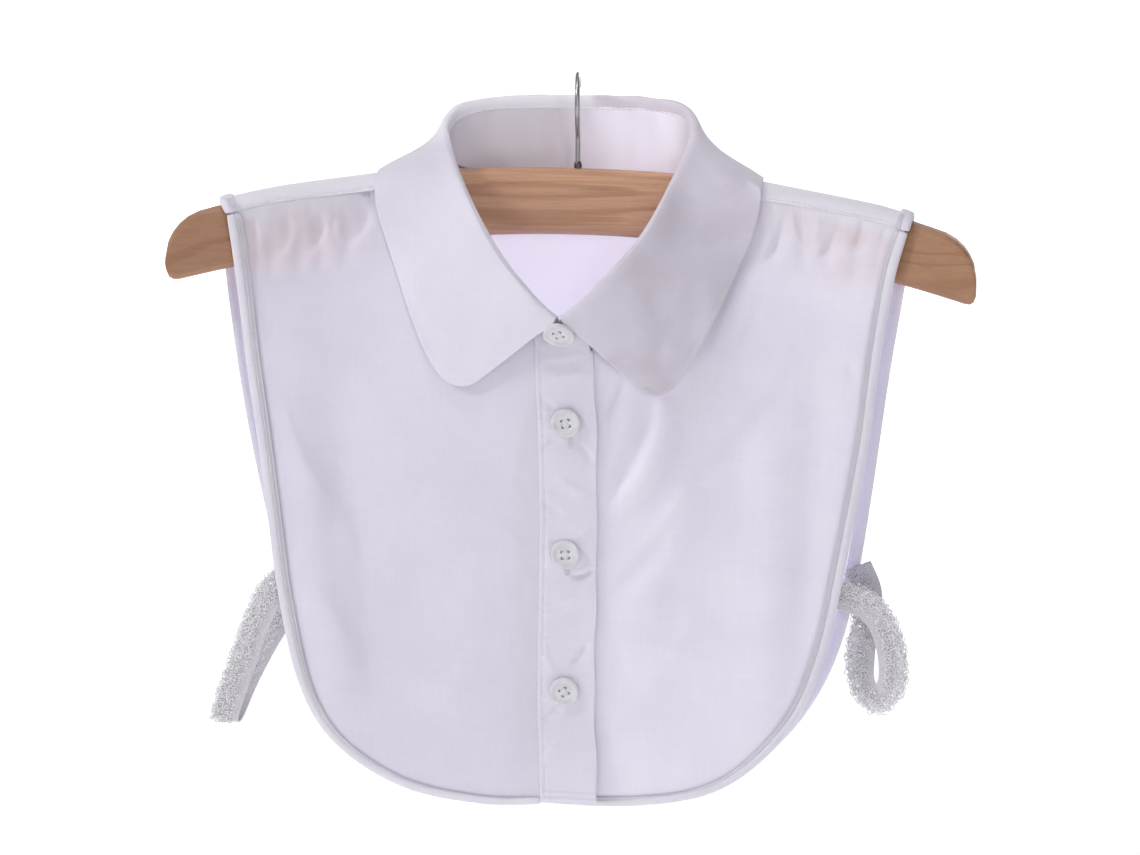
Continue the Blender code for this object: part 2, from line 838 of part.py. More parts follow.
def front_panel(name, sign, places, folds, neck_places, first_x, sink):
    across, along, grid = front_rows(name, sign, places, neck_places, first_x)
    rows = []
    for t, line in zip(along, grid):
        row = []
        for s, (x, down) in zip(across, line):
            still = smooth((0.945 - s) / 0.09) * smooth((0.97 - t) / 0.1)
            still = still * smooth((abs(x - 1.0) - 18.0) / 12.0)
            out = still * ridges(x, down, folds)
            out = out + smooth((0.955 - s) / 0.03) * gathers(x, SEAM - down, places)
            row.append(cloth(x, down, out - sink(x, down)))
        rows.append(row)
    sheet(name, rows, CLOTH, COTTON)


def placket_x(z):
    line = values(PLACKET_LINE[::-1], "z x")
    return float(np.interp(z, line[:, 0], line[:, 1]))


def right_first_x(z):
    return placket_x(z) - PLACKET_WIDTH / 2 - GAP


def left_first_x(z):
    return -11.0 + (UNDERLAP + 11.0) * smooth((-125.0 - z) / 60.0)


def fronts():
    neck = [place / V_ROW for place in (11.0, 10.0, 9.0, 8.0, 7.0, 6.0)]
    right = [-0.92] + [-place for place in neck]
    left = [1.07, 1.0, 12.0 / V_ROW] + neck
    front_panel("right_front", -1.0, RIGHT_GATHERS, RIGHT_FOLDS, right, right_first_x, no_sink)
    front_panel("left_front", 1.0, LEFT_GATHERS, LEFT_FOLDS, left, left_first_x, lap_sink)


def placket():
    rows = []
    for t in np.linspace(0.0, 1.0, 23):
        row = []
        for side in (-0.5, -0.17, 0.17, 0.5):
            top = PLACKET_TOP + PLACKET_SLANT * side * PLACKET_WIDTH
            z = top + (PLACKET_FOOT - top) * t
            x = placket_x(z) + side * PLACKET_WIDTH
            row.append(cloth(x, front_down(x, z), PLACKET_OUT))
        rows.append(row)
    sheet("placket", rows, PLACKET_WALL, COTTON)


# The back is cut on over the shoulders, so it has a part before the fold beside the neck
def back_panel():
    right = set_in(EDGE_LINES["right_back"], -1.0)
    left = set_in(EDGE_LINES["left_back"], 1.0)
    corner = int(HEM_CORNER * EDGE_POINTS)
    shares = np.array((0.0, 0.14, 0.3, 0.48, 0.66, 0.83, 1.0))
    falls = np.linspace(0.0, 1.0, SADDLE_POINTS + 1)
    blocks = {}
    for side, line in (("right", right), ("left", left)):
        edge = line[: SADDLE_POINTS + 1]
        neck = evenly(NECK_FINE[side][SHOULDER_ROW * FINE : SEAM_ROW * FINE + 1][::-1], falls)
        neck[0][1] = SEAM + GAP
        top = edge[0] + (neck[0] - edge[0]) * shares[:, None]
        foot = edge[-1] + (neck[-1] - edge[-1]) * shares[:, None]
        blocks[side] = patch(top, foot, edge, neck, shares, falls)
    ring_rows = (2.2, 1.1, 0.0, -1.1, -2.2)
    neck = np.array([ring(NECK_FINE, -row / V_ROW) for row in ring_rows])
    top = np.vstack((blocks["right"][-1], neck, blocks["left"][-1][::-1]))
    across = shares_along(top)
    along = np.linspace(0.0, 1.0, 15)
    hem = evenly(np.vstack((right[corner:], left[corner:][::-1][1:])), across)
    first = evenly(right[SADDLE_POINTS : corner + 1], along)
    last = evenly(left[SADDLE_POINTS : corner + 1], along)
    points = []
    body = patch(top, hem, first, last, across, along)
    for t, line in zip(along, body):
        for s, (x, down) in zip(across, line):
            still = smooth((min(s, 1.0 - s) - 0.03) / 0.06) * smooth((0.97 - t) / 0.08)
            still = still * smooth((down - 24.0) / 40.0)
            points.append(cloth(x, down, still * ridges(x, down, BACK_FOLDS)))
    wide = len(top)
    faces = grid_faces(np.arange(len(points)).reshape(len(along), wide))
    for side in SIDES:
        ends = np.arange(len(shares))
        if side == "left":
            ends = wide - 1 - ends
        upper = blocks[side][:-1].reshape(-1, 2)
        index = np.arange(len(points), len(points) + len(upper)).reshape(-1, len(shares))
        points = points + [cloth(x, down) for x, down in upper]
        index = np.vstack((index, ends))
        faces = faces + grid_faces(index if side == "right" else index[:, ::-1])
    solid_sheet("back_panel", points, faces, CLOTH, COTTON, False)


# The bindings fold round the edges of the panels


def binding(name, line, side, stations, widths, sink):
    steps = inward_steps(line, side)
    marks = np.linspace(0.0, 1.0, len(line))
    rows = []
    for mark in stations:
        base = sampled(marks, line, mark)
        step = sampled(marks, steps, mark)
        shares, wide = values(widths, "share width").T
        width = float(np.interp(mark, shares, wide))
        section = (
            (width, BINDING_OUT),
            (1.5, BINDING_OUT),
            (0.45, 0.8),
            (0.45, -0.8),
            (1.5, -BINDING_OUT),
            (width, -BINDING_OUT),
        )
        row = []
        for inset, out in section:
            x, down = base + step * inset
            row.append(cloth(x, down, out - sink(x, down)))
        rows.append(row)
    sheet(name, rows, BINDING_WALL, TRIM, even=True)


def bindings():
    front = np.linspace(0.0, 1.0, 34)
    right = EDGE_LINES["right_front"]
    left = EDGE_LINES["left_front"]
    binding("binding_right_front", right, 1.0, front, FRONT_BINDING_WIDTHS, no_sink)
    binding("binding_left_front", left, -1.0, front, FRONT_BINDING_WIDTHS, lap_sink)
    half = [i / (2 * EDGE_POINTS) for i in range(SADDLE_POINTS + 1)]
    half = half + list(np.linspace(0.055, 0.5, 19))
    back = half[:-1] + [1.0 - share for share in half[::-1]]
    line = np.vstack((EDGE_LINES["right_back"], EDGE_LINES["left_back"][::-1][1:]))
    binding("binding_back", line, -1.0, back, BACK_BINDING_WIDTHS, no_sink)


def lace(name, rows):
    strip = []
    for x, y, z, turn in through(values(rows, "x y z turn"), 3):
        angle = math.radians(turn)
        half = np.array((math.cos(angle), 0.0, math.sin(angle))) * LACE_WIDTH / 2
        middle = np.array((x, y, z))
        strip.append((middle - half, middle + half))
    sheet(name, strip, LACE_WALL, LACE)


# The buttons


def button(name, foot, normal, turn):
    normal = Vector(normal)
    frame = normal.to_track_quat("Z", "Y").to_matrix().to_4x4()
    frame = frame @ Matrix.Rotation(math.radians(turn), 4, "Z")
    frame.translation = Vector(foot) * MM
    points = [(row["radius"], 0.0, row["height"]) for row in BUTTON_PROFILE]
    edges = [(i, i + 1) for i in range(len(points) - 1)]
    made = mesh_object(name, points, edges, [], PEARL)
    made.matrix_world = frame
    screw = made.modifiers.new("turned", "SCREW")
    screw.steps = 16
    screw.render_steps = 16
    screw.use_merge_vertices = True
    screw.merge_threshold = MERGE
    screw.use_smooth_shade = True
    for number in range(4):
        angle = math.radians(BUTTON_ANGLE + 90.0 * number)
        bpy.ops.mesh.primitive_cylinder_add(vertices=8, radius=BUTTON_HOLE * MM, depth=0.01)
        cutter = bpy.context.object
        place = Vector((math.cos(angle), math.sin(angle), 0.0)) * BUTTON_HOLE_OFF * MM
        cutter.matrix_world = frame @ Matrix.Translation(place)
        cut(made, name + "_hole_" + str(number + 1), cutter)


def buttons():
    seam, roll, up, normal = ring_frame(-1.0)
    foot = seam + (roll - seam) * STAND_BUTTON_SHARE
    foot = foot + normal * (STAND_WALL / 2 + STAND_LIFT + GAP + STAND_BUTTON_LIFT)
    nod = math.radians(STAND_BUTTON_NOD)
    button("button_1", foot, normal * math.cos(nod) - up * math.sin(nod), STAND_BUTTON_TURN)
    for number, row in enumerate(BUTTONS):
        down = front_down(row["x"], row["z"])
        face = cloth(row["x"], down, PLACKET_OUT + PLACKET_WALL / 2 + GAP)
        button("button_" + str(number + 2), face, cloth_normal(row["x"], down), row["turn"])


for old in list(bpy.data.objects):
    bpy.data.objects.remove(old)
PARTS = collection("detachable_shirt_collar")
CUTTERS = collection("cutters")
hanger_bar()
hanger_hook()
fronts()
back_panel()
placket()
collar_stand()
collar_leaf()
bindings()
lace("lace_right", RIGHT_LACE)
lace("lace_left", LEFT_LACE)
buttons()
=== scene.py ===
import json
import math

import bmesh
import bpy
import numpy as np
from mathutils import Matrix, Vector
from mathutils.bvhtree import BVHTree
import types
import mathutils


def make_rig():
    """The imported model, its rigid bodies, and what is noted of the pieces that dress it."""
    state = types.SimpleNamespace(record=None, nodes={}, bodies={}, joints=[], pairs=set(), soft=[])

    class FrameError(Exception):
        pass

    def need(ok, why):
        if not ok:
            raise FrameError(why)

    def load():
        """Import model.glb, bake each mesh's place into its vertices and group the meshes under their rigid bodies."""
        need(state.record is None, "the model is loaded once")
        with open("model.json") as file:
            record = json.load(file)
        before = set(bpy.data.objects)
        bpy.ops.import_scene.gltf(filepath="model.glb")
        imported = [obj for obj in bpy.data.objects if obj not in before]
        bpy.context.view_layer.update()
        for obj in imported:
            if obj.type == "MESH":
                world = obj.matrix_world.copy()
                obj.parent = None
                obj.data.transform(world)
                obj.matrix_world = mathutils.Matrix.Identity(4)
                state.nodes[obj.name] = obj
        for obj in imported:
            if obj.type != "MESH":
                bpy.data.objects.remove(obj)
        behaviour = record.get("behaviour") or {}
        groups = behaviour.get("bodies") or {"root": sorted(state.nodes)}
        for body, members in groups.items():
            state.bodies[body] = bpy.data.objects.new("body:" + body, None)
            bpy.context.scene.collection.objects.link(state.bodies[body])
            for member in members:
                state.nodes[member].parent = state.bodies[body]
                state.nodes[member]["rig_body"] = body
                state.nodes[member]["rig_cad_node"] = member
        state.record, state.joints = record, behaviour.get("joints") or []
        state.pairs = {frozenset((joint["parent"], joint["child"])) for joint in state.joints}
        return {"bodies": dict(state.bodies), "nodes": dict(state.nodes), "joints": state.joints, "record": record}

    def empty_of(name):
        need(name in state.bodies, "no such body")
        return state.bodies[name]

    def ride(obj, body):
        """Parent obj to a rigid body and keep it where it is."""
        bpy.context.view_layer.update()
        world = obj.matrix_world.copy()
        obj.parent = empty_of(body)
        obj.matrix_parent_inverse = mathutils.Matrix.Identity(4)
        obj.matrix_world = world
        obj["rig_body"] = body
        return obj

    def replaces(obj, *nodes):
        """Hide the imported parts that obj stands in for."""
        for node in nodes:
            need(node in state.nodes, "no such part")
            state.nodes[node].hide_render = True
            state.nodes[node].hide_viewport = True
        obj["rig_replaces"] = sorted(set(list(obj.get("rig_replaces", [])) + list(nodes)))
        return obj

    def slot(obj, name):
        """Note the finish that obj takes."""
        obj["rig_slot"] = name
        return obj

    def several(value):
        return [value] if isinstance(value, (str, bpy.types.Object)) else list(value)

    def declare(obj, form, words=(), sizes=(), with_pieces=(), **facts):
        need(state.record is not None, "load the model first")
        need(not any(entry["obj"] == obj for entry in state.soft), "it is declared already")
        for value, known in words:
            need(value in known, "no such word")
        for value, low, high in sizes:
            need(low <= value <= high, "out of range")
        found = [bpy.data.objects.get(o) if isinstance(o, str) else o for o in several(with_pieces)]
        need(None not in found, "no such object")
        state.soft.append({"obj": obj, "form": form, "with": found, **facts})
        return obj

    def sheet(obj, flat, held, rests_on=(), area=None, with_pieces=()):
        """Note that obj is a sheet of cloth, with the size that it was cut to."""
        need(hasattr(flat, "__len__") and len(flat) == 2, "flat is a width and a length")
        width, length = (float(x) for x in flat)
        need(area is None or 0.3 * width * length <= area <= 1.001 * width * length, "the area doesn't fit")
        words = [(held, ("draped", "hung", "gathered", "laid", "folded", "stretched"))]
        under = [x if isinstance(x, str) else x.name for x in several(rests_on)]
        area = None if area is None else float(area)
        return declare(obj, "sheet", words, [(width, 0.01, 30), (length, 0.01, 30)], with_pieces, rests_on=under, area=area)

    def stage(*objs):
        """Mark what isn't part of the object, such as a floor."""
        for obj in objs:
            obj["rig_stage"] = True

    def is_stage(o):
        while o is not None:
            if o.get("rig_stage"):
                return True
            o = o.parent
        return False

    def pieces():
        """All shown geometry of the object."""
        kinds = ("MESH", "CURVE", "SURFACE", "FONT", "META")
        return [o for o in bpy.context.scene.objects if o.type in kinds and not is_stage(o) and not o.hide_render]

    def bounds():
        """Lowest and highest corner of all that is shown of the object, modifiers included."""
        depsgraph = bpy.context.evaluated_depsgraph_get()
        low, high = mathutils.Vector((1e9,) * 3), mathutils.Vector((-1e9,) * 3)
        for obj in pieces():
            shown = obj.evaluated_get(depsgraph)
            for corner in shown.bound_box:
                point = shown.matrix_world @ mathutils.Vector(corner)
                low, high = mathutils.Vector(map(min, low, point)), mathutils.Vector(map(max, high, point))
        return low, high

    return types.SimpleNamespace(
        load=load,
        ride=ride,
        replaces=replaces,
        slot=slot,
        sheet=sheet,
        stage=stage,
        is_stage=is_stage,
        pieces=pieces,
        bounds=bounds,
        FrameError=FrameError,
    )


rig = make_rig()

# A detachable shirt collar on a wooden hanger. Sizes in the tables are millimetres, x to the
# viewer's right, y away and z up from the point where the hook bears.
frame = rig.load()
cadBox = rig.bounds()
mm = 0.001
sides = ("right", "left")
scene = bpy.context.scene
print("frame loaded, nodes:", len(frame["nodes"]), "bodies:", list(frame["bodies"]))


# The form that the cloth hangs in

form = {
    "barHalf": 190.0,
    "barBend": 40.0,
    "barTop": -43.4,
    "barBottom": -74.9,
    "tilt": 0.016,
    "over": 12.0,
    "saddleDrop": 7.0,
    "seam": -12.5,
}


def ease(share):
    share = np.clip(share, 0.0, 1.0)
    return share * share * (3.0 - 2.0 * share)


def bell(off, wide):
    return np.exp(-((off / wide) ** 2))


def unit(vectors):
    return vectors / np.linalg.norm(vectors, axis=-1, keepdims=True)


def barY(x):
    return -form["barBend"] * (x / form["barHalf"]) ** 2


def barTop(x):
    return form["barTop"] - 18.8 * abs(x / 164.0) ** 2.3 - form["tilt"] * x


def barBottom(x):
    return form["barBottom"] - 17.0 * (x / 159.0) ** 2 - form["tilt"] * x


def foldZ(x):
    return barTop(x) + 1.2 + 1.5 * ease((abs(x) - 112.0) / 36.0)


def frontY(x, z):
    below = ease((barBottom(x) + 4.0 - z) / 50.0)
    height = np.clip((z + 343.0) / 223.0, 0.0, 1.0)
    neck = 23.0 * height * np.exp(-abs(x / 68.0) ** 2.6)
    return (1.0 - below) * (barY(x) - 9.0) + below * (-31.0 - 3.0 * height) - neck


def backY(x, z):
    below = ease((-60.0 - z) / 140.0)
    nape = 14.0 * np.exp(-abs(x / 56.0) ** 3) * (1.0 - ease((-50.0 - z) / 190.0))
    low = -14.0 + 13.0 * bell(x, 75.0)
    return (1.0 - below) * (barY(x) + 8.6) + below * low + nape


def skin(x, down):
    turn = min(1.0, abs(down) / form["over"]) * math.pi / 2
    z = foldZ(x) - form["saddleDrop"] * (1.0 - math.cos(turn)) - max(0.0, abs(down) - form["over"])
    low = min(z, foldZ(x) - form["saddleDrop"])
    side = frontY(x, low) if down < 0 else backY(x, low)
    return np.array((x, barY(x) + (side - barY(x)) * math.sin(turn), z))


def skinNormal(x, down):
    step = 0.5
    across = skin(x + step, down) - skin(x - step, down)
    along = skin(x, down + step) - skin(x, down - step)
    return unit(np.cross(across, along))


def onCloth(x, down, out=0.0):
    return skin(x, down) + out * skinNormal(x, down)


def frontDown(x, z):
    return -(form["over"] + foldZ(x) - form["saddleDrop"] - z)


def backDown(x, z):
    return form["over"] + foldZ(x) - form["saddleDrop"] - z


def through(points, steps):  # a smooth line through the rows of a table
    points = np.array(points, float)
    ends = np.vstack((2 * points[0] - points[1], points, 2 * points[-1] - points[-2]))
    t = np.linspace(0.0, 1.0, steps, endpoint=False)[:, None]
    fine = []
    for a, b, c, d in zip(ends, ends[1:], ends[2:], ends[3:]):
        bend = (2 * a - 5 * b + 4 * c - d) * t**2 + (3 * b - a - 3 * c + d) * t**3
        fine.append(0.5 * (2 * b + (c - a) * t + bend))
    return np.vstack(fine + [points[-1:]])


def lengthsAlong(points):
    return np.concatenate(([0.0], np.cumsum(np.linalg.norm(np.diff(points, axis=0), axis=1))))


def runsAlong(line):
    return np.vstack((line[1:], line[-1:])) - np.vstack((line[:1], line[:-1]))


def spaced(points, gap):  # the line again, with a point every gap
    marks = lengthsAlong(points)
    places = np.arange(0.0, marks[-1], gap)
    return np.stack([np.interp(places, marks, column) for column in points.T], axis=-1)


def nearLine(points, line):  # how far each point is from a line, and how far along it
    best = np.full(len(points), 1e9)
    along = np.zeros(len(points))
    marks = lengthsAlong(line)
    for a, b, start in zip(line, line[1:], marks):
        run = b - a
        length = max(np.linalg.norm(run), 1e-9)
        share = np.clip((points - a) @ run / length**2, 0.0, 1.0)
        away = np.linalg.norm(points - a - share[:, None] * run, axis=1)
        closer = away < best
        best[closer] = away[closer]
        along[closer] = start + share[closer] * length
    return best, along


# Pieces


def clearSelection():
    if bpy.context.mode != "OBJECT":
        bpy.ops.object.mode_set(mode="OBJECT")
    bpy.ops.object.select_all(action="DESELECT")


def finish(piece):  # applies what is left on a piece
    clearSelection()
    bpy.context.view_layer.objects.active = piece
    piece.select_set(True)
    for modifier in list(piece.modifiers):
        bpy.ops.object.modifier_apply(modifier=modifier.name)
    piece.select_set(False)
    return piece


def linked(name, data):
    made = bpy.data.objects.new(name, data)
    scene.collection.objects.link(made)
    return made


def gridFaces(rows, columns, closed=False):
    index = np.arange(rows * columns).reshape(rows, columns)
    index = np.hstack((index, index[:, :1])) if closed else index
    corners = index[:-1, :-1], index[:-1, 1:], index[1:, 1:], index[1:, :-1]
    return np.stack(corners, axis=-1).reshape(-1, 4).tolist()


def newPiece(name, points, faces):  # points in millimetres
    mesh = bpy.data.meshes.new(name)
    mesh.from_pydata((np.asarray(points) * mm).tolist(), [], faces)
    mesh.shade_smooth()
    return linked(name, mesh)


def getPoints(piece):
    points = np.empty(len(piece.data.vertices) * 3)
    piece.data.vertices.foreach_get("co", points)
    return points.reshape(-1, 3) / mm


def getNormals(piece):
    normals = np.empty(len(piece.data.vertices) * 3, np.float32)
    piece.data.vertices.foreach_get("normal", normals)
    return normals.reshape(-1, 3).astype(float)


def setPoints(piece, points):
    piece.data.vertices.foreach_set("co", (points * mm).ravel())
    piece.data.update()


def treeOf(piece):
    mesh = piece.data
    return BVHTree.FromPolygons([v.co for v in mesh.vertices], [p.vertices for p in mesh.polygons])


def reachUnder(points, node, within, past):  # edges that end just short of a node go on into it
    tree = treeOf(frame["nodes"][node])
    moved = points.copy()
    for i, point in enumerate(points):
        spot, _, _, away = tree.find_nearest(Vector(point * mm), within * mm)
        if spot is not None:
            way = np.array(spot) / mm - point
            moved[i] = point + way * (1.0 + past * mm / max(away, 0.0001))
    return moved


def clothFrom(node, name, levels, crease=0.5, reshape=None):  # a finer copy of a solid
    mesh = frame["nodes"][node].data.copy()
    mesh.name = name
    if "custom_normal" in mesh.attributes:
        mesh.attributes.remove(mesh.attributes["custom_normal"])
    shape = bmesh.new()
    shape.from_mesh(mesh)
    bmesh.ops.remove_doubles(shape, verts=shape.verts, dist=0.00001)
    bmesh.ops.join_triangles(
        shape, faces=shape.faces, angle_face_threshold=math.pi, angle_shape_threshold=math.pi
    )
    layer = shape.edges.layers.float.get("crease_edge") or shape.edges.layers.float.new("crease_edge")
    for edge in shape.edges:
        if len(edge.link_faces) == 2 and edge.calc_face_angle(0.0) > 0.87:
            edge[layer] = crease
    odd = sum(1 for face in shape.faces if len(face.verts) == 3)
    print(" ", name, "faces", len(shape.faces), "left as triangles", odd)
    if reshape:
        points = reshape(np.array([vert.co for vert in shape.verts]) / mm)
        for vert, point in zip(shape.verts, points):
            vert.co = point * mm
    shape.to_mesh(mesh)
    shape.free()
    mesh.materials.clear()
    mesh.shade_smooth()
    piece = linked(name, mesh)
    finer = piece.modifiers.new("finer", "SUBSURF")
    finer.levels = levels
    finer.render_levels = levels
    return finish(piece)


# painted light: marks where a cloth piece glows
def markPaintedGlow(piece, shares):
    marks = piece.data.attributes.new("through", "FLOAT", "POINT")
    marks.data.foreach_set("value", np.asarray(shares, np.float32))


def creased(points, rows):  # how far each point stands out, for a table of soft creases
    flat = points[:, [0, 2]]
    total = np.zeros(len(points))
    for x0, z0, x1, z1, bend, width, lean, rise in rows:
        a, b = np.array((x0, z0), float), np.array((x1, z1), float)
        run = b - a
        length = np.linalg.norm(run)
        side = np.array((run[1], -run[0])) / length
        near = np.linalg.norm(flat - (a + b) / 2, axis=1) < length / 2 + abs(bend) + 4 * width
        t = (flat[near] - a) @ run / length**2
        off = (flat[near] - a) @ side - 4.0 * bend * t * (1.0 - t)
        wide = width * (1.0 + lean * np.tanh(off / (0.5 * width)))
        fade = ease((t + 0.12) / 0.45) * ease((1.12 - t) / 0.45)
        total[near] += rise * fade * bell(off, wide)
    return total


def waves(points, length, seed, count=7):  # a slow unevenness, from -1 to 1
    draw = np.random.default_rng(seed)
    total = np.zeros(len(points))
    for _ in range(count):
        angle = draw.uniform(0.0, 2.0 * math.pi)
        lean = draw.uniform(-0.6, 0.6)
        way = np.array((math.cos(angle), lean, math.sin(angle)))
        span = length * draw.uniform(0.7, 1.6)
        total += np.sin(points @ way * 2.0 * math.pi / span + draw.uniform(0.0, 6.3))
    return total / count


def puckers(along, seed, gap):  # an uneven ripple along a seam
    draw = np.random.default_rng(seed)
    places = np.cumsum(draw.uniform(0.6, 1.5, int(along.max() / gap) + 4) * gap)
    heights = draw.uniform(0.25, 1.0, len(places))
    widths = draw.uniform(0.2, 0.36, len(places)) * gap
    total = np.zeros(len(along))
    for place, height, width in zip(places, heights, widths):
        total += height * np.exp(-(((along - place) / width) ** 2))
    return total


# Shader maths: a socket that can be added and multiplied like a number


class Term:
    def __init__(self, tree, socket=None):
        self.tree = tree
        self.socket = socket

    def node(self, kind, settings=None, inputs=None, output=0):
        made = self.tree.nodes.new(kind)
        for name, value in (settings or {}).items():
            setattr(made, name, value)
        for name, value in (inputs or {}).items():
            if isinstance(value, Term):
                self.tree.links.new(value.socket, made.inputs[name])
            elif made.inputs[name].type == "RGBA":
                made.inputs[name].default_value = (*value, 1.0)
            else:
                made.inputs[name].default_value = value
        return Term(self.tree, made.outputs[output])

    def maths(self, operation, first, second):
        return self.node("ShaderNodeMath", {"operation": operation}, {0: first, 1: second})

    def __add__(self, other):
        return self.maths("ADD", self, other)

    def __rsub__(self, other):
        return self.maths("SUBTRACT", other, self)

    def __mul__(self, other):
        return self.maths("MULTIPLY", self, other)

    def sine(self, scale):
        return self.node("ShaderNodeMath", {"operation": "SINE"}, {0: self * scale})

    def ramp(self, low, high):  # from 0 at low to 1 at high, eased
        return self.node(
            "ShaderNodeMapRange",
            {"interpolation_type": "SMOOTHSTEP"},
            {"Value": self, "From Min": low, "From Max": high},
        )

    def mix(self, first, second):  # this value picks between two colours
        return self.node("ShaderNodeMix", {"data_type": "RGBA"}, {0: self, 6: first, 7: second}, 2)

    def axis(self, axis):
        return self.node("ShaderNodeSeparateXYZ", None, {0: self}, axis)

    def noise(self, scale, detail=2.0, stretch=(1.0, 1.0, 1.0), roughness=0.5):
        place = self.node("ShaderNodeMapping", None, {"Vector": self, "Scale": stretch})
        inputs = {"Vector": place, "Scale": scale, "Detail": detail, "Roughness": roughness}
        return self.node("ShaderNodeTexNoise", None, inputs)


def startMaterial(name, settings):
    made = bpy.data.materials.new(name)
    made.use_nodes = True
    tree = made.node_tree
    shader = tree.nodes["Principled BSDF"]
    for socket, value in settings.items():
        shader.inputs[socket].default_value = value
    place = Term(tree).node("ShaderNodeTexCoord", None, None, "Object")
    return made, tree, shader, place


def feed(tree, shader, colour=None, roughness=None, height=None, depth=0.0001, strength=1.0):
    if colour is not None:
        tree.links.new(colour.socket, shader.inputs["Base Color"])
    if roughness is not None:
        tree.links.new(roughness.socket, shader.inputs["Roughness"])
    if height is not None:
        inputs = {"Height": height, "Distance": depth, "Strength": strength}
        bump = height.node("ShaderNodeBump", None, inputs)
        tree.links.new(bump.socket, shader.inputs["Normal"])


def weave(place, pitch):  # over and under, in the cloth's own x and z
    x, y, z = (place.axis(axis) for axis in "XYZ")
    turn = 2.0 * math.pi / (pitch * mm)
    return (x + y * 0.6).sine(turn) * z.sine(turn), x, z


cottonShades = {
    "light": (0.832, 0.802, 0.896),
    "deep": (0.786, 0.756, 0.850),
    "wood": (0.790, 0.680, 0.710),
    "pitch": 0.62,
}


def cottonMaterial(
    name, tint=1.0, wood=0.0, pitch=None, glow=(0.5, 0.0016), high=None, paintedShadeAway=0.0, through=0.0
):
    made, tree, shader, place = startMaterial(
        name,
        {
            "Sheen Weight": 0.10,
            "Sheen Roughness": 0.5,
            "Specular IOR Level": 0.25,
            "Subsurface Weight": glow[0],
            "Subsurface Radius": (1.0, 1.0, 1.0),
            "Subsurface Scale": glow[1],
        },
    )
    threads, x, z = weave(place, pitch or cottonShades["pitch"])
    slubs = place.noise(900.0, 2.0, (0.06, 0.4, 1.0)) + place.noise(900.0, 2.0, (1.0, 0.4, 0.06))
    mottle = place.noise(28.0, 3.0)
    light, deep = (tuple(tint * part for part in cottonShades[key]) for key in ("light", "deep"))
    shade = (mottle.ramp(0.35, 0.7) * 0.6 + slubs.ramp(0.7, 1.3) * 0.4).mix(light, deep)
    if wood:  # the wood shows faintly through the cloth that lies on it
        drop = (x * x) * 0.70 + x * form["tilt"]
        inside = (z + drop + 0.001).ramp(-0.088, -0.062) * (1.0 - (z + drop).ramp(-0.056, -0.048))
        patches = place.noise(60.0, 2.0, (1.0, 0.5, 0.7)).ramp(0.35, 0.62)
        inside = inside * (x * x).ramp(0.006, 0.016) * (patches * 0.7 + 0.3)
        shade = (inside * wood).mix(shade, cottonShades["wood"])
    if high:  # painted light: the cloth is painted paler from a height upwards
        shade = z.ramp(high[0], high[0] + 0.012).mix(shade, high[1])
    if paintedShadeAway:  # painted shade: soft uneven shade painted on the side away from the window
        patches = place.noise(34.0, 3.0).ramp(0.38, 0.66)
        patches = x.ramp(-0.004, 0.020) * (patches * 0.6 + 0.4)
        shade = (patches * paintedShadeAway).mix(shade, (0.66, 0.60, 0.67))
    if through:  # painted light: an emitted glow stands in for light from behind coming through the thin cloth, where the piece is marked
        mark = place.node("ShaderNodeAttribute", {"attribute_name": "through"}, None, "Fac")
        lit = mark.mix((0.0, 0.0, 0.0), (0.84 * through, 0.81 * through, through))
        tree.links.new(lit.socket, shader.inputs["Emission Color"])
        shader.inputs["Emission Strength"].default_value = 1.0
    rough = mottle.ramp(0.2, 0.8) * 0.1 + 0.78
    height = threads * 0.5 + slubs * 0.45
    feed(tree, shader, shade, rough, height, 0.00007, 0.6)
    return made


print("materials")
cotton = cottonMaterial("white cotton")
cottonFronts = {  # painted light and shade: the front away from the window is painted a little paler, the front near it a little darker
    "right": cottonMaterial("white cotton of the right front", 0.945, 0.8),
    "left": cottonMaterial("white cotton of the left front", 1.05, 0.8),
}
# painted light and shade: the collar is painted paler at its top and painted with soft shade on the side away from the
# window
cottonLeaf = cottonMaterial(
    "white cotton of the collar",
    pitch=0.55,
    glow=(0.3, 0.001),
    high=(-0.034, (0.95, 0.915, 1.0)),
    paintedShadeAway=0.65,
)
# painted light and shade: the stand is painted darker at its front under the collar's corners, painted paler from 82
# mm below the hook upwards, and glows inside where marked
cottonStand = cottonMaterial(
    "white cotton of the stand",
    0.86,
    pitch=0.55,
    glow=(0.05, 0.001),
    high=(-0.082, (0.81, 0.77, 0.84)),
    through=0.28,
)
bindingCotton = cottonMaterial("bias cotton", 1.02, pitch=0.7)
# painted light: the back glows on its inner side below the neck and a little on the flap over the bar
backCotton = cottonMaterial("white cotton of the back", 1.02, glow=(0.7, 0.003), through=0.36)


def threadMaterial():
    made, tree, shader, place = startMaterial(
        "sewing thread", {"Specular IOR Level": 0.4, "Sheen Weight": 0.1}
    )
    twist = place.noise(2600.0, 1.0, (1.0, 1.0, 0.4))
    shade = twist.ramp(0.3, 0.7).mix((0.86, 0.85, 0.90), (0.70, 0.68, 0.76))
    feed(tree, shader, shade, twist * 0.2 + 0.45, twist, 0.00005)
    return made


def laceMaterial(name, light, deep):
    made, tree, shader, place = startMaterial(name, {"Sheen Weight": 0.2})
    fluff = place.noise(1800.0, 3.0)
    shade = fluff.ramp(0.3, 0.7).mix(light, deep)
    feed(tree, shader, shade, fluff * 0.2 + 0.7, fluff, 0.0001)
    return made


def pearlMaterial():
    made, tree, shader, place = startMaterial(
        "pearly button", {"Coat Weight": 0.35, "Coat Roughness": 0.12, "Specular IOR Level": 0.5}
    )
    cloud = place.noise(160.0, 3.0, (1.0, 0.4, 1.6))
    shade = cloud.ramp(0.3, 0.7).mix((0.78, 0.765, 0.80), (0.68, 0.665, 0.71))
    feed(tree, shader, shade, cloud * 0.15 + 0.22, cloud, 0.00004)
    return made


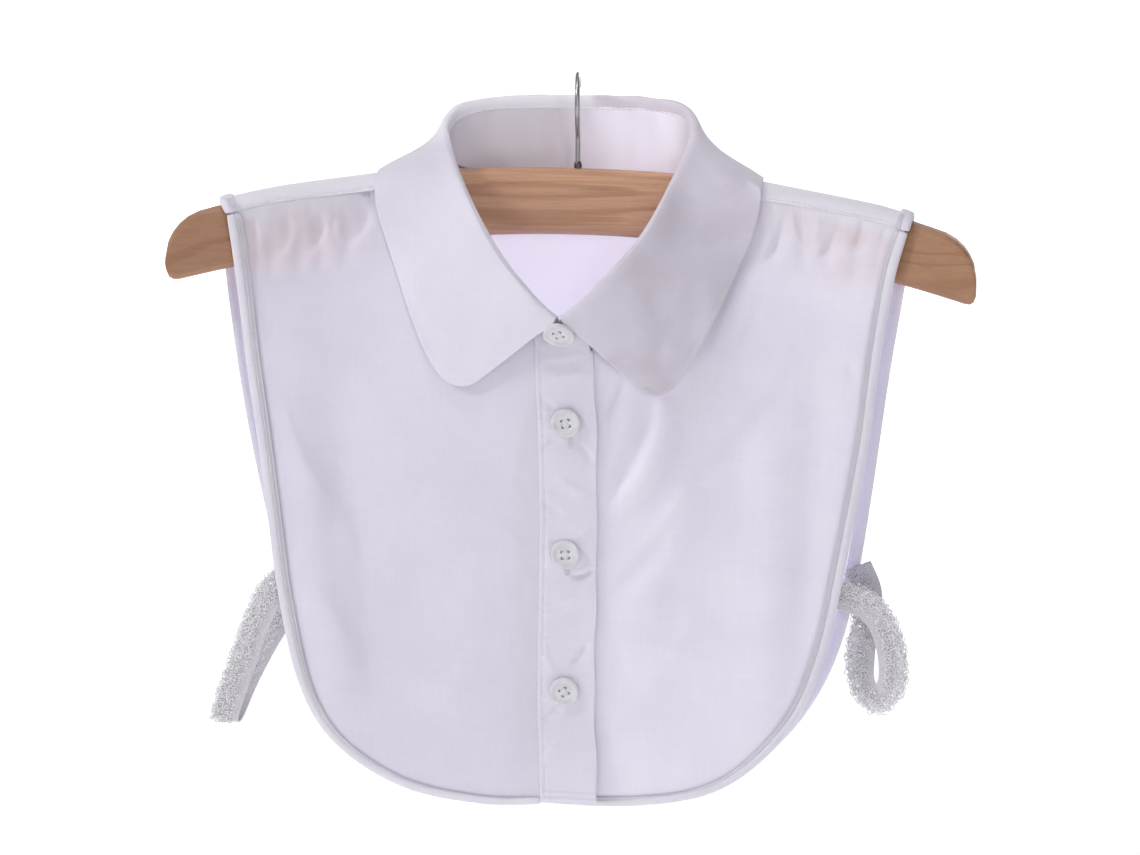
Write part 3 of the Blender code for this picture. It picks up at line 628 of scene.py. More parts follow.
def woodMaterial():
    made, tree, shader, place = startMaterial(
        "waxed pale wood", {"Coat Weight": 0.18, "Coat Roughness": 0.3, "Specular IOR Level": 0.4}
    )
    broad = place.noise(30.0, 1.0, (0.035, 0.6, 1.0))
    grain = place.noise(700.0, 3.0, (0.02, 0.5, 1.0), 0.55)
    pores = place.noise(2200.0, 2.0, (0.02, 1.0, 1.0), 0.6)
    rings = (broad * 11.0 + grain * 0.35).sine(2.0 * math.pi)
    late = rings.ramp(0.35, 1.0)
    shade = (grain.ramp(0.3, 0.7)).mix((0.740, 0.440, 0.275), (0.640, 0.360, 0.215))
    shade = (late * 0.5).mix(shade, (0.430, 0.215, 0.115))
    shade = (pores.ramp(0.58, 0.72) * 0.35).mix(shade, (0.30, 0.17, 0.095))
    x = place.axis("X")
    shade = ((x * x).ramp(0.008, 0.026) * 0.6).mix(shade, (0.235, 0.105, 0.050))
    feed(tree, shader, shade, grain * 0.2 + 0.42, grain + pores * 0.5, 0.00012)
    return made


def steelMaterial(name, colour, rough):
    made, tree, shader, place = startMaterial(name, {"Metallic": 1.0})
    streak = place.noise(900.0, 2.0, (1.0, 1.0, 0.15))
    shade = streak.ramp(0.3, 0.75).mix(colour, tuple(0.8 * part for part in colour))
    feed(tree, shader, shade, streak * 0.12 + rough, streak, 0.00002)
    return made


thread = threadMaterial()
lace = laceMaterial("white lace", (0.97, 0.96, 0.98), (0.88, 0.86, 0.90))
# painted shade: the band is its own pale grey painted darker, for the shade between the knots
laceGround = laceMaterial("elastic band", (0.74, 0.72, 0.76), (0.58, 0.56, 0.60))
pearl = pearlMaterial()
wood = woodMaterial()
steel = steelMaterial("chromed wire", (0.50, 0.50, 0.51), 0.30)
darkSteel = steelMaterial("darkened steel", (0.16, 0.15, 0.15), 0.35)


def place(piece, material, slot, nodes=()):
    piece.data.materials.clear()
    piece.data.materials.append(material)
    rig.ride(piece, "root")
    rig.slot(piece, slot)
    if nodes:
        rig.replaces(piece, *nodes)


# Edge lines, from the shoulder seam down and round, as x and down along the cloth

edges = {
    "rightFront": ((-161.8, -12.85), (-158.5, -90), (-154.7, -129), (-149.5, -169),
                   (-144.7, -210), (-139.8, -250), (-130, -292.5), (-112.5, -320),
                   (-79, -340), (-40, -346.5), (-13.9, -345.5)),
    "leftFront": ((158.3, -12.85), (151.8, -91.5), (145.2, -134.5), (141.2, -168),
                  (131, -226), (121.5, -271), (105.5, -306), (73, -335.5),
                  (28, -346), (-24, -345.5)),
    "rightBack": ((-162.3, -12.15), (-166.8, 0), (-167.2, -75), (-166.5, -97),
                  (-159.6, -158), (-149, -213), (-137, -262), (-118, -302),
                  (-88, -331), (-46, -345), (0, -347.5)),
    "leftBack": ((158.8, -12.15), (160.6, 0), (158.6, -78), (156, -97),
                 (149.5, -137), (141, -201), (131.5, -256), (117, -293.5),
                 (90, -326), (50, -346), (0, -347.5)),
}


def edgeLine(name):
    head = 1 if name.endswith("Front") else 2
    toDown = frontDown if head == 1 else backDown
    rows = edges[name]
    line = list(rows[:head]) + [(x, toDown(x, z)) for x, z in rows[head:]]
    return spaced(through(line, 8), 2.0)


edgeLines = {name: edgeLine(name) for name in edges}
edgeCurves = {name: np.array([onCloth(*row) for row in line]) for name, line in edgeLines.items()}


def insetLine(line, inward):  # moved inwards along the cloth, in millimetres
    side = runsAlong(line)[:, ::-1] * (-1.0, 1.0)
    return line + inward * unit(side)


# The fronts

flattened = {  # x, top and foot of the solid's gathers, which are softened here
    "right": ((-151, -66, -98), (-142, -66, -96), (-129, -64, -94), (-119, -62, -92), (-107, -59, -90)),
    "left": ((147, -66, -96), (134, -64, -94), (121, -62, -92), (109, -59, -90), (96, -56, -88)),
}
rightCreases = (  # x0 z0 x1 z1 bend width lean rise
    (-99, -51, -91, -64, 0, 1.7, 0.2, -1.9),
    (-149, -68, -154, -82, -1, 2.8, 0.3, -1.4),
    (-143, -67, -147, -79, -1.5, 2.6, 0.3, 0.3),
    (-134, -66, -141, -85, -2.5, 3.6, 0.3, -1.3),
    (-128, -66, -130, -77, 1, 2.6, 0.3, 0.3),
    (-119, -65, -127, -84, -2.5, 4, 0.4, -1.8),
    (-113, -66, -112, -78, 1.5, 2.6, 0.3, -0.9),
    (-97, -59, -108, -79, -3, 4.2, 0.4, -1.8),
    (-154, -77, -147, -69, 0, 2.2, 0.2, 0.9),
    (-155, -88, -147, -82, 0, 2.6, 0.2, -0.8),
    (-150, -106, -105, -101, -4, 8, 0.3, -1.2),
    (-104, -100, -80, -97, -2, 3, 0.3, 0.7),
    (-147, -128, -141, -120, 0, 2.4, 0.2, -0.7),
    (-138, -150, -107, -208, 4, 5, 0.4, 1.6),
    (-108, -205, -101, -232, 1, 4, 0.3, 1.1),
    (-131, -232, -101, -294, -5, 9, 0.4, 1.8),
    (-137, -214, -137, -226, 0, 2.2, 0.2, -0.7),
    (-134, -248, -130, -256, 0, 2.2, 0.2, -0.6),
    (-52, -183, -42, -174, 1, 3.5, 0.3, 0.6),
    (-22, -180, -12, -195, 1.5, 2.6, 0.2, -0.6),
    (-92, -148, -62, -186, 5, 11, 0.4, 1.2),
    (-74, -224, -50, -250, -4, 10, 0.4, -1.1),
    (-84, -264, -45, -298, 5, 12, 0.4, 1.2),
    (-42, -205, -13, -226, -3, 6, 0.4, 0.9),
    (-31, -246, -12, -228, 2, 4.5, 0.3, -0.8),
    (-130, -169, -104, -193, -2, 5, 0.4, -1),
)
leftCreases = (
    (100, -60, 90, -86, -3, 3, -0.3, -1.8),
    (106, -59, 111, -75, 1.5, 2.4, -0.3, -1.3),
    (116, -62, 112, -74, -1, 2.2, -0.3, 0.9),
    (126, -64, 116, -83, -2, 3, -0.3, -1.7),
    (137, -63, 133, -79, -1, 2.6, -0.3, -1.3),
    (147, -67, 151, -80, 1, 2.4, -0.3, -1.3),
    (43, -141, 16, -200, -5, 4.6, 0.3, -3.8),
    (52, -146, 26, -200, -5, 6, 0.3, 2.4),
    (29, -134, 17, -156, -1, 2.8, -0.3, -2.3),
    (108, -136, 54, -194, -4, 11, -0.4, -1.6),
    (59, -185, 38, -218, -3, 7, -0.4, 1.3),
    (117, -150, 130, -156, 0, 2.6, 0.2, -0.6),
    (116, -184, 128, -180, 0, 2.6, 0.2, -0.6),
    (131, -130, 138, -141, 0, 2.4, 0.2, -0.6),
    (54, -202, 17, -244, -3, 6.6, -0.4, -1.6),
    (55, -214, 27, -246, -2, 5, -0.3, 0.9),
    (92, -98, 70, -142, -4, 10, -0.4, -1.3),
    (65, -240, 33, -290, -5, 10, -0.4, 1.1),
    (110, -200, 104, -256, 3, 10, 0.3, 1.2),
    (18, -262, 36, -290, 2, 7, 0.3, -0.9),
    (36, -314, 45, -317, 0, 2.2, 0.2, 0.5),
    (80, -284, 86, -287, 0, 2.2, 0.2, 0.5),
)
fronts = {
    "right": {"creases": rightCreases, "waves": (48.0, 0.45, 3), "gathers": (6.4, 0.2, 5)},
    "left": {"creases": leftCreases, "waves": (46.0, 0.45, 8), "gathers": (6.4, 0.2, 9)},
}


def makeFront(side):
    facts = fronts[side]
    name = side + "FrontPanel"

    def tuck(points):  # under the shoulder seam, and under the placket
        points = reachUnder(points, "back_panel", 0.75, 1.6)
        return reachUnder(points, "placket", 0.75, 1.2) if side == "right" else points

    piece = clothFrom(side + "_front", name, 3, 0.5, tuck)
    points = getPoints(piece)
    away, _ = nearLine(points, edgeCurves[side + "Front"])
    still = ease((away - 6.5) / 7.0) * ease((abs(points[:, 0] - 1.0) - 17.0) / 8.0)
    length, height, seed = facts["waves"]
    level = tuple((x, top, x, low, 0, 3.6, 0, -1.3) for x, top, low in flattened[side])
    out = creased(points, level + facts["creases"]) + height * waves(points, length, seed)
    gap, swell, seed = facts["gathers"]
    x = points[:, 0]
    below = foldZ(x) - form["saddleDrop"] - points[:, 2]
    fall = np.clip(below / 5.0, 0.0, 8.0)
    ripple = puckers(x - x.min(), seed, gap) * fall * np.exp(1.0 - fall)
    ripple = ripple * ease((abs(x) - 84.0) / 12.0) * ease((points[:, 2] + 105.0) / 12.0)
    points[:, 1] -= still * (out + swell * ripple)
    setPoints(piece, points)
    place(piece, cottonFronts[side], "cotton", [side + "_front"])
    return piece


print("fronts")
rightFront = makeFront("right")
leftFront = makeFront("left")


# The back, seen behind the neck and from behind

back = {
    "creases": (
        (-120, -95, -95, -310, 8, 13, 0.4, 2),
        (-70, -120, -58, -300, -6, 11, -0.4, -1.6),
        (-40, -80, -34, -150, 2, 6, 0.3, 1),
        (-20, -70, -16, -140, -2, 5, 0.3, -0.9),
        (6, -72, 4, -190, 3, 7, -0.3, 1.2),
        (34, -75, 30, -130, 2, 5, 0.3, -0.9),
        (48, -120, 40, -300, 6, 12, 0.4, -1.8),
        (84, -100, 70, -290, -7, 12, -0.4, 1.8),
        (120, -110, 104, -260, 5, 9, 0.3, 1.2),
        (-140, -140, -128, -230, 2, 6, 0.3, -1),
    ),
    "waves": (52, 0.5, 21),
}


def makeBack():
    piece = clothFrom("back_panel", "backPanel", 3)
    points = getPoints(piece)
    away = nearLine(points, edgeCurves["rightBack"])[0]
    away = np.minimum(away, nearLine(points, edgeCurves["leftBack"])[0])
    behind = ease((points[:, 1] - barY(points[:, 0])) / 6.0) * ease((-74.0 - points[:, 2]) / 30.0)
    behind = np.maximum(behind, ease((-100.0 - points[:, 2]) / 10.0))
    length, height, seed = back["waves"]
    out = creased(points, back["creases"]) + height * waves(points, length, seed)
    points[:, 1] += ease((away - 6.0) / 8.0) * behind * out
    setPoints(piece, points)
    # painted light: the inner side below the neck is marked to glow, and the flap over the bar a little
    inner = ease((-0.2 - getNormals(piece)[:, 1]) / 0.5) * ease((-70.0 - points[:, 2]) / 8.0)
    flap = ease((barY(points[:, 0]) + 3.0 - points[:, 1]) / 8.0) * ease((points[:, 2] + 80.0) / 8.0)
    markPaintedGlow(piece, np.maximum(inner, 0.22 * flap))
    place(piece, backCotton, "cotton", ["back_panel"])
    return piece


print("back")
backPiece = makeBack()


# The placket, a folded strip down the front

placket = {
    "width": 27,
    "line": ((-121, 1), (-160, 2.3), (-205, 2.4), (-250, 0.8), (-290, -0.5), (-350, 0)),
    "creases": (
        (3, -232, 15, -227, 1, 1.8, 0.2, -0.9),
        (-3, -214, 14, -209, 1, 2.6, 0.2, 0.6),
        (8, -167, 15, -177, 0, 2, 0.2, -0.6),
        (-11, -173, -2, -165, 0, 2.2, 0.2, -0.5),
        (3, -276, 11, -264, 0, 2.4, 0.2, -0.8),
        (-12, -263, -4, -282, 1, 2.6, 0.2, 0.5),
        (-9, -130, 14, -127, 1, 2.6, 0.2, -0.5),
        (-9, -138, 14, -134, -1, 2.4, 0.2, 0.5),
        (-11, -144, -2, -153, 0, 2.2, 0.2, -0.5),
        (-4, -245, 13, -235, 2, 3, 0.2, 0.5),
        (-12, -305, -2, -294, 0, 2.6, 0.2, -0.6),
        (-13, -324, -4, -314, 0, 2.6, 0.2, 0.5),
        (-12, -194, -1, -202, 0, 2.4, 0.2, -0.5),
        (-3, -184, 14, -192, 1, 3, 0.2, 0.5),
    ),
    "stitchIn": 2.2,
    "holes": ((3.9, -151, -170), (1.3, -214, -231.5), (-0.9, -281.5, -294)),
}


def placketX(z):
    rows = np.array(placket["line"])[::-1]
    return np.interp(z, rows[:, 0], rows[:, 1])


def makePlacket():

    def tuck(points):  # under the end of the stand
        high = points[:, 2] > -129.5
        points[high] += (0.0, 0.9, 3.2)
        return points

    piece = clothFrom("placket", "placketStrip", 4, 0.6, tuck)
    points = getPoints(piece)
    side = points[:, 0] - placketX(points[:, 2])
    edge = placket["width"] / 2 - abs(side)
    out = 1.4 * creased(points, placket["creases"]) * ease((edge + 0.5) / 4.0)
    left = side < 0.0
    sewn = bell(edge - placket["stitchIn"], 0.7)
    out -= left * sewn * 0.30
    ripple = puckers(points[:, 2] - points[:, 2].min(), 31, 5.2)
    out += 0.35 * left * ripple * bell(edge - placket["stitchIn"] - 1.6, 1.8)
    for row, deep in ((-338.6, 0.5), (-341.4, 0.6)):  # the folded end
        out -= deep * ease((side + 12.5) / 1.5) * bell(points[:, 2] - row, 0.5)
    free = ease((side - 4.0) / 9.0) * ease((-134.0 - points[:, 2]) / 20.0)
    drift = waves(points * (0.0, 0.0, 1.0), 34.0, 33, 5)
    points[:, 0] += 0.9 * free * drift
    out += 0.25 * waves(points, 26.0, 35) + 0.5 * free * (0.4 + drift)
    points[:, 1] -= out
    setPoints(piece, points)
    place(piece, cotton, "cotton", ["placket"])
    return piece


print("placket")
placketPiece = makePlacket()


# The collar

collar = {
    "rightLeaf": ((-40.5, -139.8), (-46.5, -141.4), (-53.5, -139.6), (-59, -134.5),
                  (-66.5, -122), (-75.5, -105), (-82.8, -90), (-88.5, -75),
                  (-93, -61), (-94, -8), (-93.5, 1), (-91, 10),
                  (-80, 18), (-46, 21), (-3, 21.5)),
    "leftLeaf": ((38, -142.3), (43.7, -144.4), (50.2, -140.8), (55.6, -134.2),
                 (62.8, -122), (71, -106), (78.2, -89.8), (84.6, -74.5),
                 (89, -60.5), (89, -8), (88.5, 1), (86, 10),
                 (76, 18), (41, 21), (-3, 21.5)),
    "rightFold": ((-4, 17.5, -10.5), (-26, 16.8, -10.3), (-46, 13.5, -11),
                  (-58, 8, -14), (-61.8, 1, -20), (-60, -7, -28),
                  (-56.5, -16, -37), (-51.5, -25.5, -46), (-45.5, -34.5, -55),
                  (-38.5, -43, -65), (-30, -50.5, -76.5)),
    "leftFold": ((-4, 17.5, -10.5), (18, 16.8, -10.3), (38, 13.5, -11),
                 (49.5, 8, -14), (53.5, 1, -20), (53.3, -7, -28),
                 (51, -16, -37), (47.5, -25.5, -46), (43.5, -34.5, -55),
                 (38.5, -43, -65), (31, -50.5, -76.5)),
    "meeting": (0.3, -66, -108),
    "stitchDown": 6,
    "leafCreases": (
        (60, -92, 70, -118, 3, 7, 0.3, -1.4),
        (30, -92, 52, -124, 3, 9, 0.3, 1.2),
        (50, -112, 44, -134, 2, 6, 0.3, -0.9),
        (66, -60, 78, -92, 3, 8, 0.3, 1.2),
        (-70, -70, -58, -118, 4, 10, 0.3, 0.7),
        (-44, -92, -40, -130, -3, 9, 0.3, -0.6),
        (-24, -108, -44, -134, -2, 5, 0.3, 0.4),
    ),
}


def leafLine(side):
    rows = [(x, frontDown(x, z)) if z < -30.0 else (x, z) for x, z in collar[side + "Leaf"]]
    return spaced(through(rows, 8), 1.0)


def rollUneven(points):  # the roll of the collar rises and dips behind the neck
    behind = ease((points[:, 1] - 3.0) / 6.0) * ease((points[:, 2] + 30.0) / 12.0)
    side = 0.5 + 0.5 * ease((-10.0 - points[:, 0]) / 20.0)
    return behind * side * 1.3 * waves(points * (1.0, 0.6, 0.0), 11.0, 44, 6)


def makeLeaf():
    piece = clothFrom(
        "collar_leaf", "collarLeaf", 3, 0.6, lambda points: reachUnder(points, "collar_stand", 1.5, 1.2)
    )
    points = getPoints(piece)
    middle = points - np.array((0.0, 18.0, 0.0))
    middle[:, 2] = 0.0
    way = unit(middle)
    front = ease((-30.0 - points[:, 1]) / 12.0)
    out = front * creased(points, collar["leafCreases"]) + 0.25 * waves(points, 60.0, 41)
    edge = np.vstack([[onCloth(x, down, 3.5) for x, down in leafLine(side)[::3]] for side in sides])
    away = nearLine(points, edge[: len(edge) // 2])[0]
    away = np.minimum(away, nearLine(points, edge[len(edge) // 2 :])[0])
    rim = bell(away - 1.0, 0.9) - bell(away - 2.8, 0.7)
    out = out * ease((away - 1.0) / 8.0) + front * 0.30 * rim
    points += way * out[:, None]
    near = np.exp(-((np.linalg.norm(points - np.array(collar["meeting"]), axis=1) / 9.0) ** 2))
    points[:, 0] -= np.sign(points[:, 0] - 0.3) * 2.2 * near
    points[:, 2] += rollUneven(points)
    setPoints(piece, points)
    place(piece, cottonLeaf, "cotton", ["collar_leaf"])
    return piece


def makeStand():

    def tuck(points):  # its foot goes down inside the neck seam
        low = (points[:, 2] < -37.0) & (points[:, 1] > 5.0)
        points[low] -= (0.0, 0.0, 3.5)
        return points

    piece = clothFrom("collar_stand", "collarStand", 3, 0.5, tuck)
    points = getPoints(piece)
    lap = bell(points[:, 0] - 0.3, 7.0) * ease((-50.0 - points[:, 1]) / 6.0)
    points[:, 2] += 2.4 * lap * ease((points[:, 2] + 117.0) / 6.0) + rollUneven(points)
    inside = unit((points - np.array((-4.0, -5.0, 0.0))) * (1.0, 1.0, 0.0))
    high = ease((points[:, 1] - 4.0) / 8.0) * ease((points[:, 2] + 46.0) / 8.0)
    points += inside * (high * 1.3 * waves(points * (1.0, 1.0, 0.25), 11.0, 47))[:, None]
    setPoints(piece, points)
    # painted light: the inner faces at the back of the stand, towards the viewer's right, are marked to glow
    inward = -(getNormals(piece) * inside).sum(1)
    lit = ease((points[:, 1] - 4.0) / 8.0) * ease((points[:, 0] + 14.0) / 34.0)
    markPaintedGlow(piece, ease((inward - 0.2) / 0.5) * lit)
    place(piece, cottonStand, "cotton", ["collar_stand"])
    return piece


print("collar")
leafPiece = makeLeaf()
standPiece = makeStand()


# The bindings round the armholes and the hem

bindings = {
    "rightFront": {"node": "binding_right_front", "name": "rightFrontBinding", "groove": 4.7, "seed": 51},
    "leftFront": {"node": "binding_left_front", "name": "leftFrontBinding", "groove": 4.7, "seed": 52},
    "rightBack": {"node": "binding_back", "name": "backBinding", "groove": 4.2, "seed": 53},
}


def makeBinding(key):
    facts = bindings[key]
    piece = clothFrom(facts["node"], facts["name"], 3, 0.25)
    points = getPoints(piece)
    normals = getNormals(piece)
    away, along = nearLine(points, edgeCurves[key])
    if key == "rightBack":
        other, further = nearLine(points, edgeCurves["leftBack"])
        along = np.where(other < away, 800.0 + further, along)
        away = np.minimum(away, other)
    outer = abs(normals[:, 1]) > 0.5
    groove = bell(away - facts["groove"], 0.7)
    swell = bell(away - 2.4, 1.3)
    ripple = puckers(along, facts["seed"], 4.6)
    ridge = bell(away - facts["groove"] - 1.3, 0.6)
    out = 0.12 * swell * (0.3 + 0.7 * ripple) - 0.20 * groove + 0.14 * ridge * (0.6 + 0.4 * ripple)
    out -= 0.45 * ease((away - 3.2) / 2.2)
    points += normals * (outer * out)[:, None]
    setPoints(piece, points)
    place(piece, bindingCotton, "binding", [facts["node"]])
    return piece


print("bindings")
bindingPieces = {key: makeBinding(key) for key in bindings}


# Sewing: short bulging stitches along a line, laid on the piece under it

sewing = {"length": 2.0, "gap": 2.7, "wide": 0.42, "high": 0.26}


def dropOn(tree, points, ways):  # where each point first meets a piece, going its way
    found = []
    for point, way in zip(points, np.broadcast_to(ways, np.shape(points))):
        spot, normal, _, _ = tree.ray_cast(Vector(point * mm), Vector(way))
        if spot is not None:
            found.append((np.array(spot) / mm, np.array(normal)))
    return found


# One stitch: a bar with three rings of six points and two tips
ringAngles = np.linspace(0.0, 2.0 * math.pi, 6, endpoint=False)


def stitchShape():
    points = []
    for place, size in ((-0.45, 0.55), (0.0, 1.0), (0.45, 0.55)):
        for angle in ringAngles:
            points.append((place, math.cos(angle) * size, math.sin(angle) * size))
    points += [(-0.55, 0.0, -0.2), (0.55, 0.0, -0.2)]
    faces = gridFaces(3, 6, True)
    for i in range(6):
        k = (i + 1) % 6
        faces.append((18, k, i))
        faces.append((19, 12 + i, 12 + k))
    return np.array(points), faces


stitchPoints, stitchFaces = stitchShape()


def addStitches(store, places, normals, runs, length, wide, high):
    for place, normal, run in zip(places, normals, runs):
        run = run / max(np.linalg.norm(run), 1e-9)
        side = np.cross(normal, run)
        side = side / max(np.linalg.norm(side), 1e-9)
        shape = (
            stitchPoints[:, :1] * length * run
            + stitchPoints[:, 1:2] * wide / 2 * side
            + stitchPoints[:, 2:] * high / 2 * normal
        )
        first = len(store["points"])
        store["points"] += list(place + normal * high * 0.15 + shape)
        store["faces"] += [tuple(first + i for i in face) for face in stitchFaces]


def stitchLine(store, found):
    places, normals = [np.array(part) for part in zip(*found)]
    line = spaced(np.hstack((places, normals)), sewing["gap"])
    places, normals = line[:, :3], line[:, 3:]
    runs = np.gradient(places, axis=0)
    addStitches(store, places, unit(normals), runs, sewing["length"], sewing["wide"], sewing["high"])


def sewAlong(store, tree, line, out):  # on the side of the cloth that out points to
    outside = [onCloth(x, down, out) for x, down in line]
    ways = [-math.copysign(1.0, out) * skinNormal(x, down) for x, down in line]
    stitchLine(store, dropOn(tree, outside, ways))


def sewnPiece(name, store, slot):
    piece = newPiece(name, store["points"], store["faces"])
    place(piece, thread, slot)
    print(" ", name, "stitches", len(store["faces"]) // len(stitchFaces))
    return piece


print("sewing")
ahead = (0.0, 1.0, 0.0)
sewn = {"points": [], "faces": []}
for key, inward in (("rightFront", 4.7), ("leftFront", -4.7)):
    sewAlong(sewn, treeOf(bindingPieces[key]), insetLine(edgeLines[key], inward), 6.0)
tree = treeOf(bindingPieces["rightBack"])
for key, inward in (("rightBack", -4.2), ("leftBack", 4.2)):
    for out in (6.0, -6.0):
        sewAlong(sewn, tree, insetLine(edgeLines[key], inward), out)
bindingThread = sewnPiece("bindingStitches", sewn, "binding")

sewn = {"points": [], "faces": []}
tree = treeOf(backPiece)
for start, end in ((-160.5, -74.0), (72.0, 156.5)):  # the line just above the shoulder seam
    line = [(x, -10.9 + 0.25 * math.sin(x * 0.31)) for x in np.arange(start, end, 1.0)]
    sewAlong(sewn, tree, line, 6.0)
tree = treeOf(placketPiece)
reach = placket["stitchIn"] - placket["width"] / 2
line = np.array([(placketX(z) + reach, -200.0, z) for z in np.arange(-124.0, -342.0, -1.0)])
stitchLine(sewn, dropOn(tree, line, ahead))
for x, top, foot in placket["holes"]:  # the buttonholes, close bars down both sides of a slit
    for shift in (-0.6, 0.6):
        line = np.array([(x + shift, -200.0, z) for z in np.arange(top, foot, -0.55)])
        found = dropOn(tree, line, ahead)
        places, normals = [np.array(part) for part in zip(*found)]
        runs = np.tile((1.0, 0.0, 0.15), (len(found), 1))
        addStitches(sewn, places - normals * 0.1, normals, runs, 1.15, 0.55, 0.4)
tree = treeOf(standPiece)
middle = np.array((-4.0, -5.0, 0.0))
for side in sides:  # the line under the roll, inside the neck
    reach = through(collar[side + "Fold"], 8)[::2] - middle
    ways = reach * (1.0, 1.0, 0.0)
    starts = middle + reach * (0.35, 0.35, 1.0) - (0.0, 0.0, collar["stitchDown"])
    stitchLine(sewn, dropOn(tree, starts, unit(ways)))
frontThread = sewnPiece("collarStitches", sewn, "cotton")


# Turned and drawn pieces start as a disc


def startDisc(name, vertices, radius, foot):
    clearSelection()
    bpy.ops.mesh.primitive_circle_add(
        vertices=vertices, radius=radius * mm, fill_type="NGON", location=(0.0, 0.0, foot * mm)
    )
    disc = bpy.context.object
    disc.name = name
    bpy.ops.object.transform_apply(location=True)
    bpy.ops.object.mode_set(mode="EDIT")
    bpy.ops.mesh.select_all(action="SELECT")
    return disc


def drawOut(rise, widen=1.0):
    bpy.ops.mesh.extrude_region_move(TRANSFORM_OT_translate={"value": (0.0, 0.0, rise * mm)})
    bpy.ops.transform.resize(value=(widen, widen, 1.0))


def endDrawing():
    bpy.ops.mesh.select_all(action="SELECT")
    bpy.ops.mesh.remove_doubles(threshold=0.00002)
    bpy.ops.mesh.normals_make_consistent(inside=False)
    bpy.ops.object.mode_set(mode="OBJECT")


def soften(piece, width, segments, degrees):  # rounds the edges sharper than this
    rounded = piece.modifiers.new("rounded", "BEVEL")
    rounded.width = width * mm
    rounded.segments = segments
    rounded.limit_method = "ANGLE"
    rounded.angle_limit = math.radians(degrees)
    finish(piece)
    piece.data.shade_smooth()
    return piece


# The buttons: one turned with four holes, then copied

button = {
    "foot": 4.5,
    "steps": (
        (6.3, 0.35), (6.95, 0.95), (7.05, 1.6), (6.7, 2.25), (6.1, 2.5), (5.4, 2.3), (4.8, 1.85), (3.6, 1.7)
    ),
    "hole": 0.78,
    "holeOut": 2.1,
    "turns": {"button_1": 20.0, "button_2": 10.0, "button_3": 4.0, "button_4": 30.0},
}


def holeSpot(number):
    angle = math.radians(45.0 + 90.0 * number)
    return button["holeOut"] * math.cos(angle), button["holeOut"] * math.sin(angle)


def makeButton():
    turned = startDisc("turnedButton", 56, button["foot"], 0.0)
    drawOut(0.1)
    radius, height = button["foot"], 0.1
    for wide, high in button["steps"]:
        drawOut(high - height, wide / radius)
        radius, height = wide, high
    endDrawing()
    for number in range(4):
        x, y = holeSpot(number)
        clearSelection()
        bpy.ops.mesh.primitive_cylinder_add(
            vertices=20, radius=button["hole"] * mm, depth=0.006, location=(x * mm, y * mm, 0.001)
        )
        cutter = bpy.context.object
        hole = turned.modifiers.new("hole", "BOOLEAN")
        hole.operation = "DIFFERENCE"
        hole.solver = "EXACT"
        hole.object = cutter
        finish(turned)
        bpy.data.objects.remove(cutter)
    return soften(turned, 0.12, 2, 38.0)


def frameOf(node, turn):  # the place and slant of a flat round solid
    points = getPoints(frame["nodes"][node])
    middle = (points.max(0) + points.min(0)) / 2
    normal = np.linalg.svd(points - points.mean(0), full_matrices=False)[2][2]
    normal = normal if normal[1] < 0 else -normal
    low = ((points - middle) @ normal).min()
    matrix = Vector(normal).to_track_quat("Z", "Y").to_matrix().to_4x4()
    matrix = matrix @ Matrix.Rotation(math.radians(turn), 4, "Z")
    matrix.translation = Vector((middle + normal * low) * mm)
    return matrix


def archPoints(start, end, rise, count):
    t = np.linspace(0.0, 1.0, count)[:, None]
    flat = np.array(start) + (np.array(end) - start) * t
    return np.hstack((flat, 1.35 + rise * np.sin(math.pi * t)))


def tubeAlong(line, radius, sides=6):  # points and faces of a closed tube along a line
    line = np.asarray(line, float)
    runs = unit(np.gradient(line, axis=0))
    side = np.cross(runs[0], (0.3, 0.5, 0.8))
    points = []
    for spot, run in zip(line, runs):
        side = unit(side - run * side.dot(run))
        over = np.cross(run, side)
        for k in range(sides):
            angle = 2.0 * math.pi * k / sides
            points.append(spot + radius * (math.cos(angle) * side + math.sin(angle) * over))
    faces = gridFaces(len(line), sides, True)
    faces.append(tuple(range(sides))[::-1])
    faces.append(tuple(range((len(line) - 1) * sides, len(line) * sides)))
    return points, faces


def addTube(store, line, radius, sides=6):
    points, faces = tubeAlong(line, radius, sides)
    first = len(store["points"])
    store["points"] += points
    store["faces"] += [tuple(first + i for i in face) for face in faces]


print("buttons")
pattern = makeButton()
ties = {"points": [], "faces": []}
for node, turn in button["turns"].items():
    matrix = frameOf(node, turn)
    if node == "button_1":  # its rim is tucked under the corners of the leaf
        matrix = Matrix.Translation((0.0, 0.0006, 0.0017)) @ matrix @ Matrix.Scale(1.08, 4)
    mesh = pattern.data.copy()
    mesh.transform(matrix)
    mesh.name = "pearl_" + node
    piece = linked("pearl_" + node, mesh)
    place(piece, pearl, "button", [node])
    for a, b in ((0, 2), (1, 3)):
        for shift in (-0.28, 0.28):
            line = archPoints(holeSpot(a), holeSpot(b), 0.4, 7) + np.array((0.0, shift, 0.0))
            addTube(ties, [np.array(matrix @ Vector(spot * mm)) / mm for spot in line], 0.33)
bpy.data.objects.remove(pattern)
tiePiece = newPiece("buttonThread", ties["points"], ties["faces"])
place(tiePiece, thread, "button")


# Lace: an elastic band with a worked edge

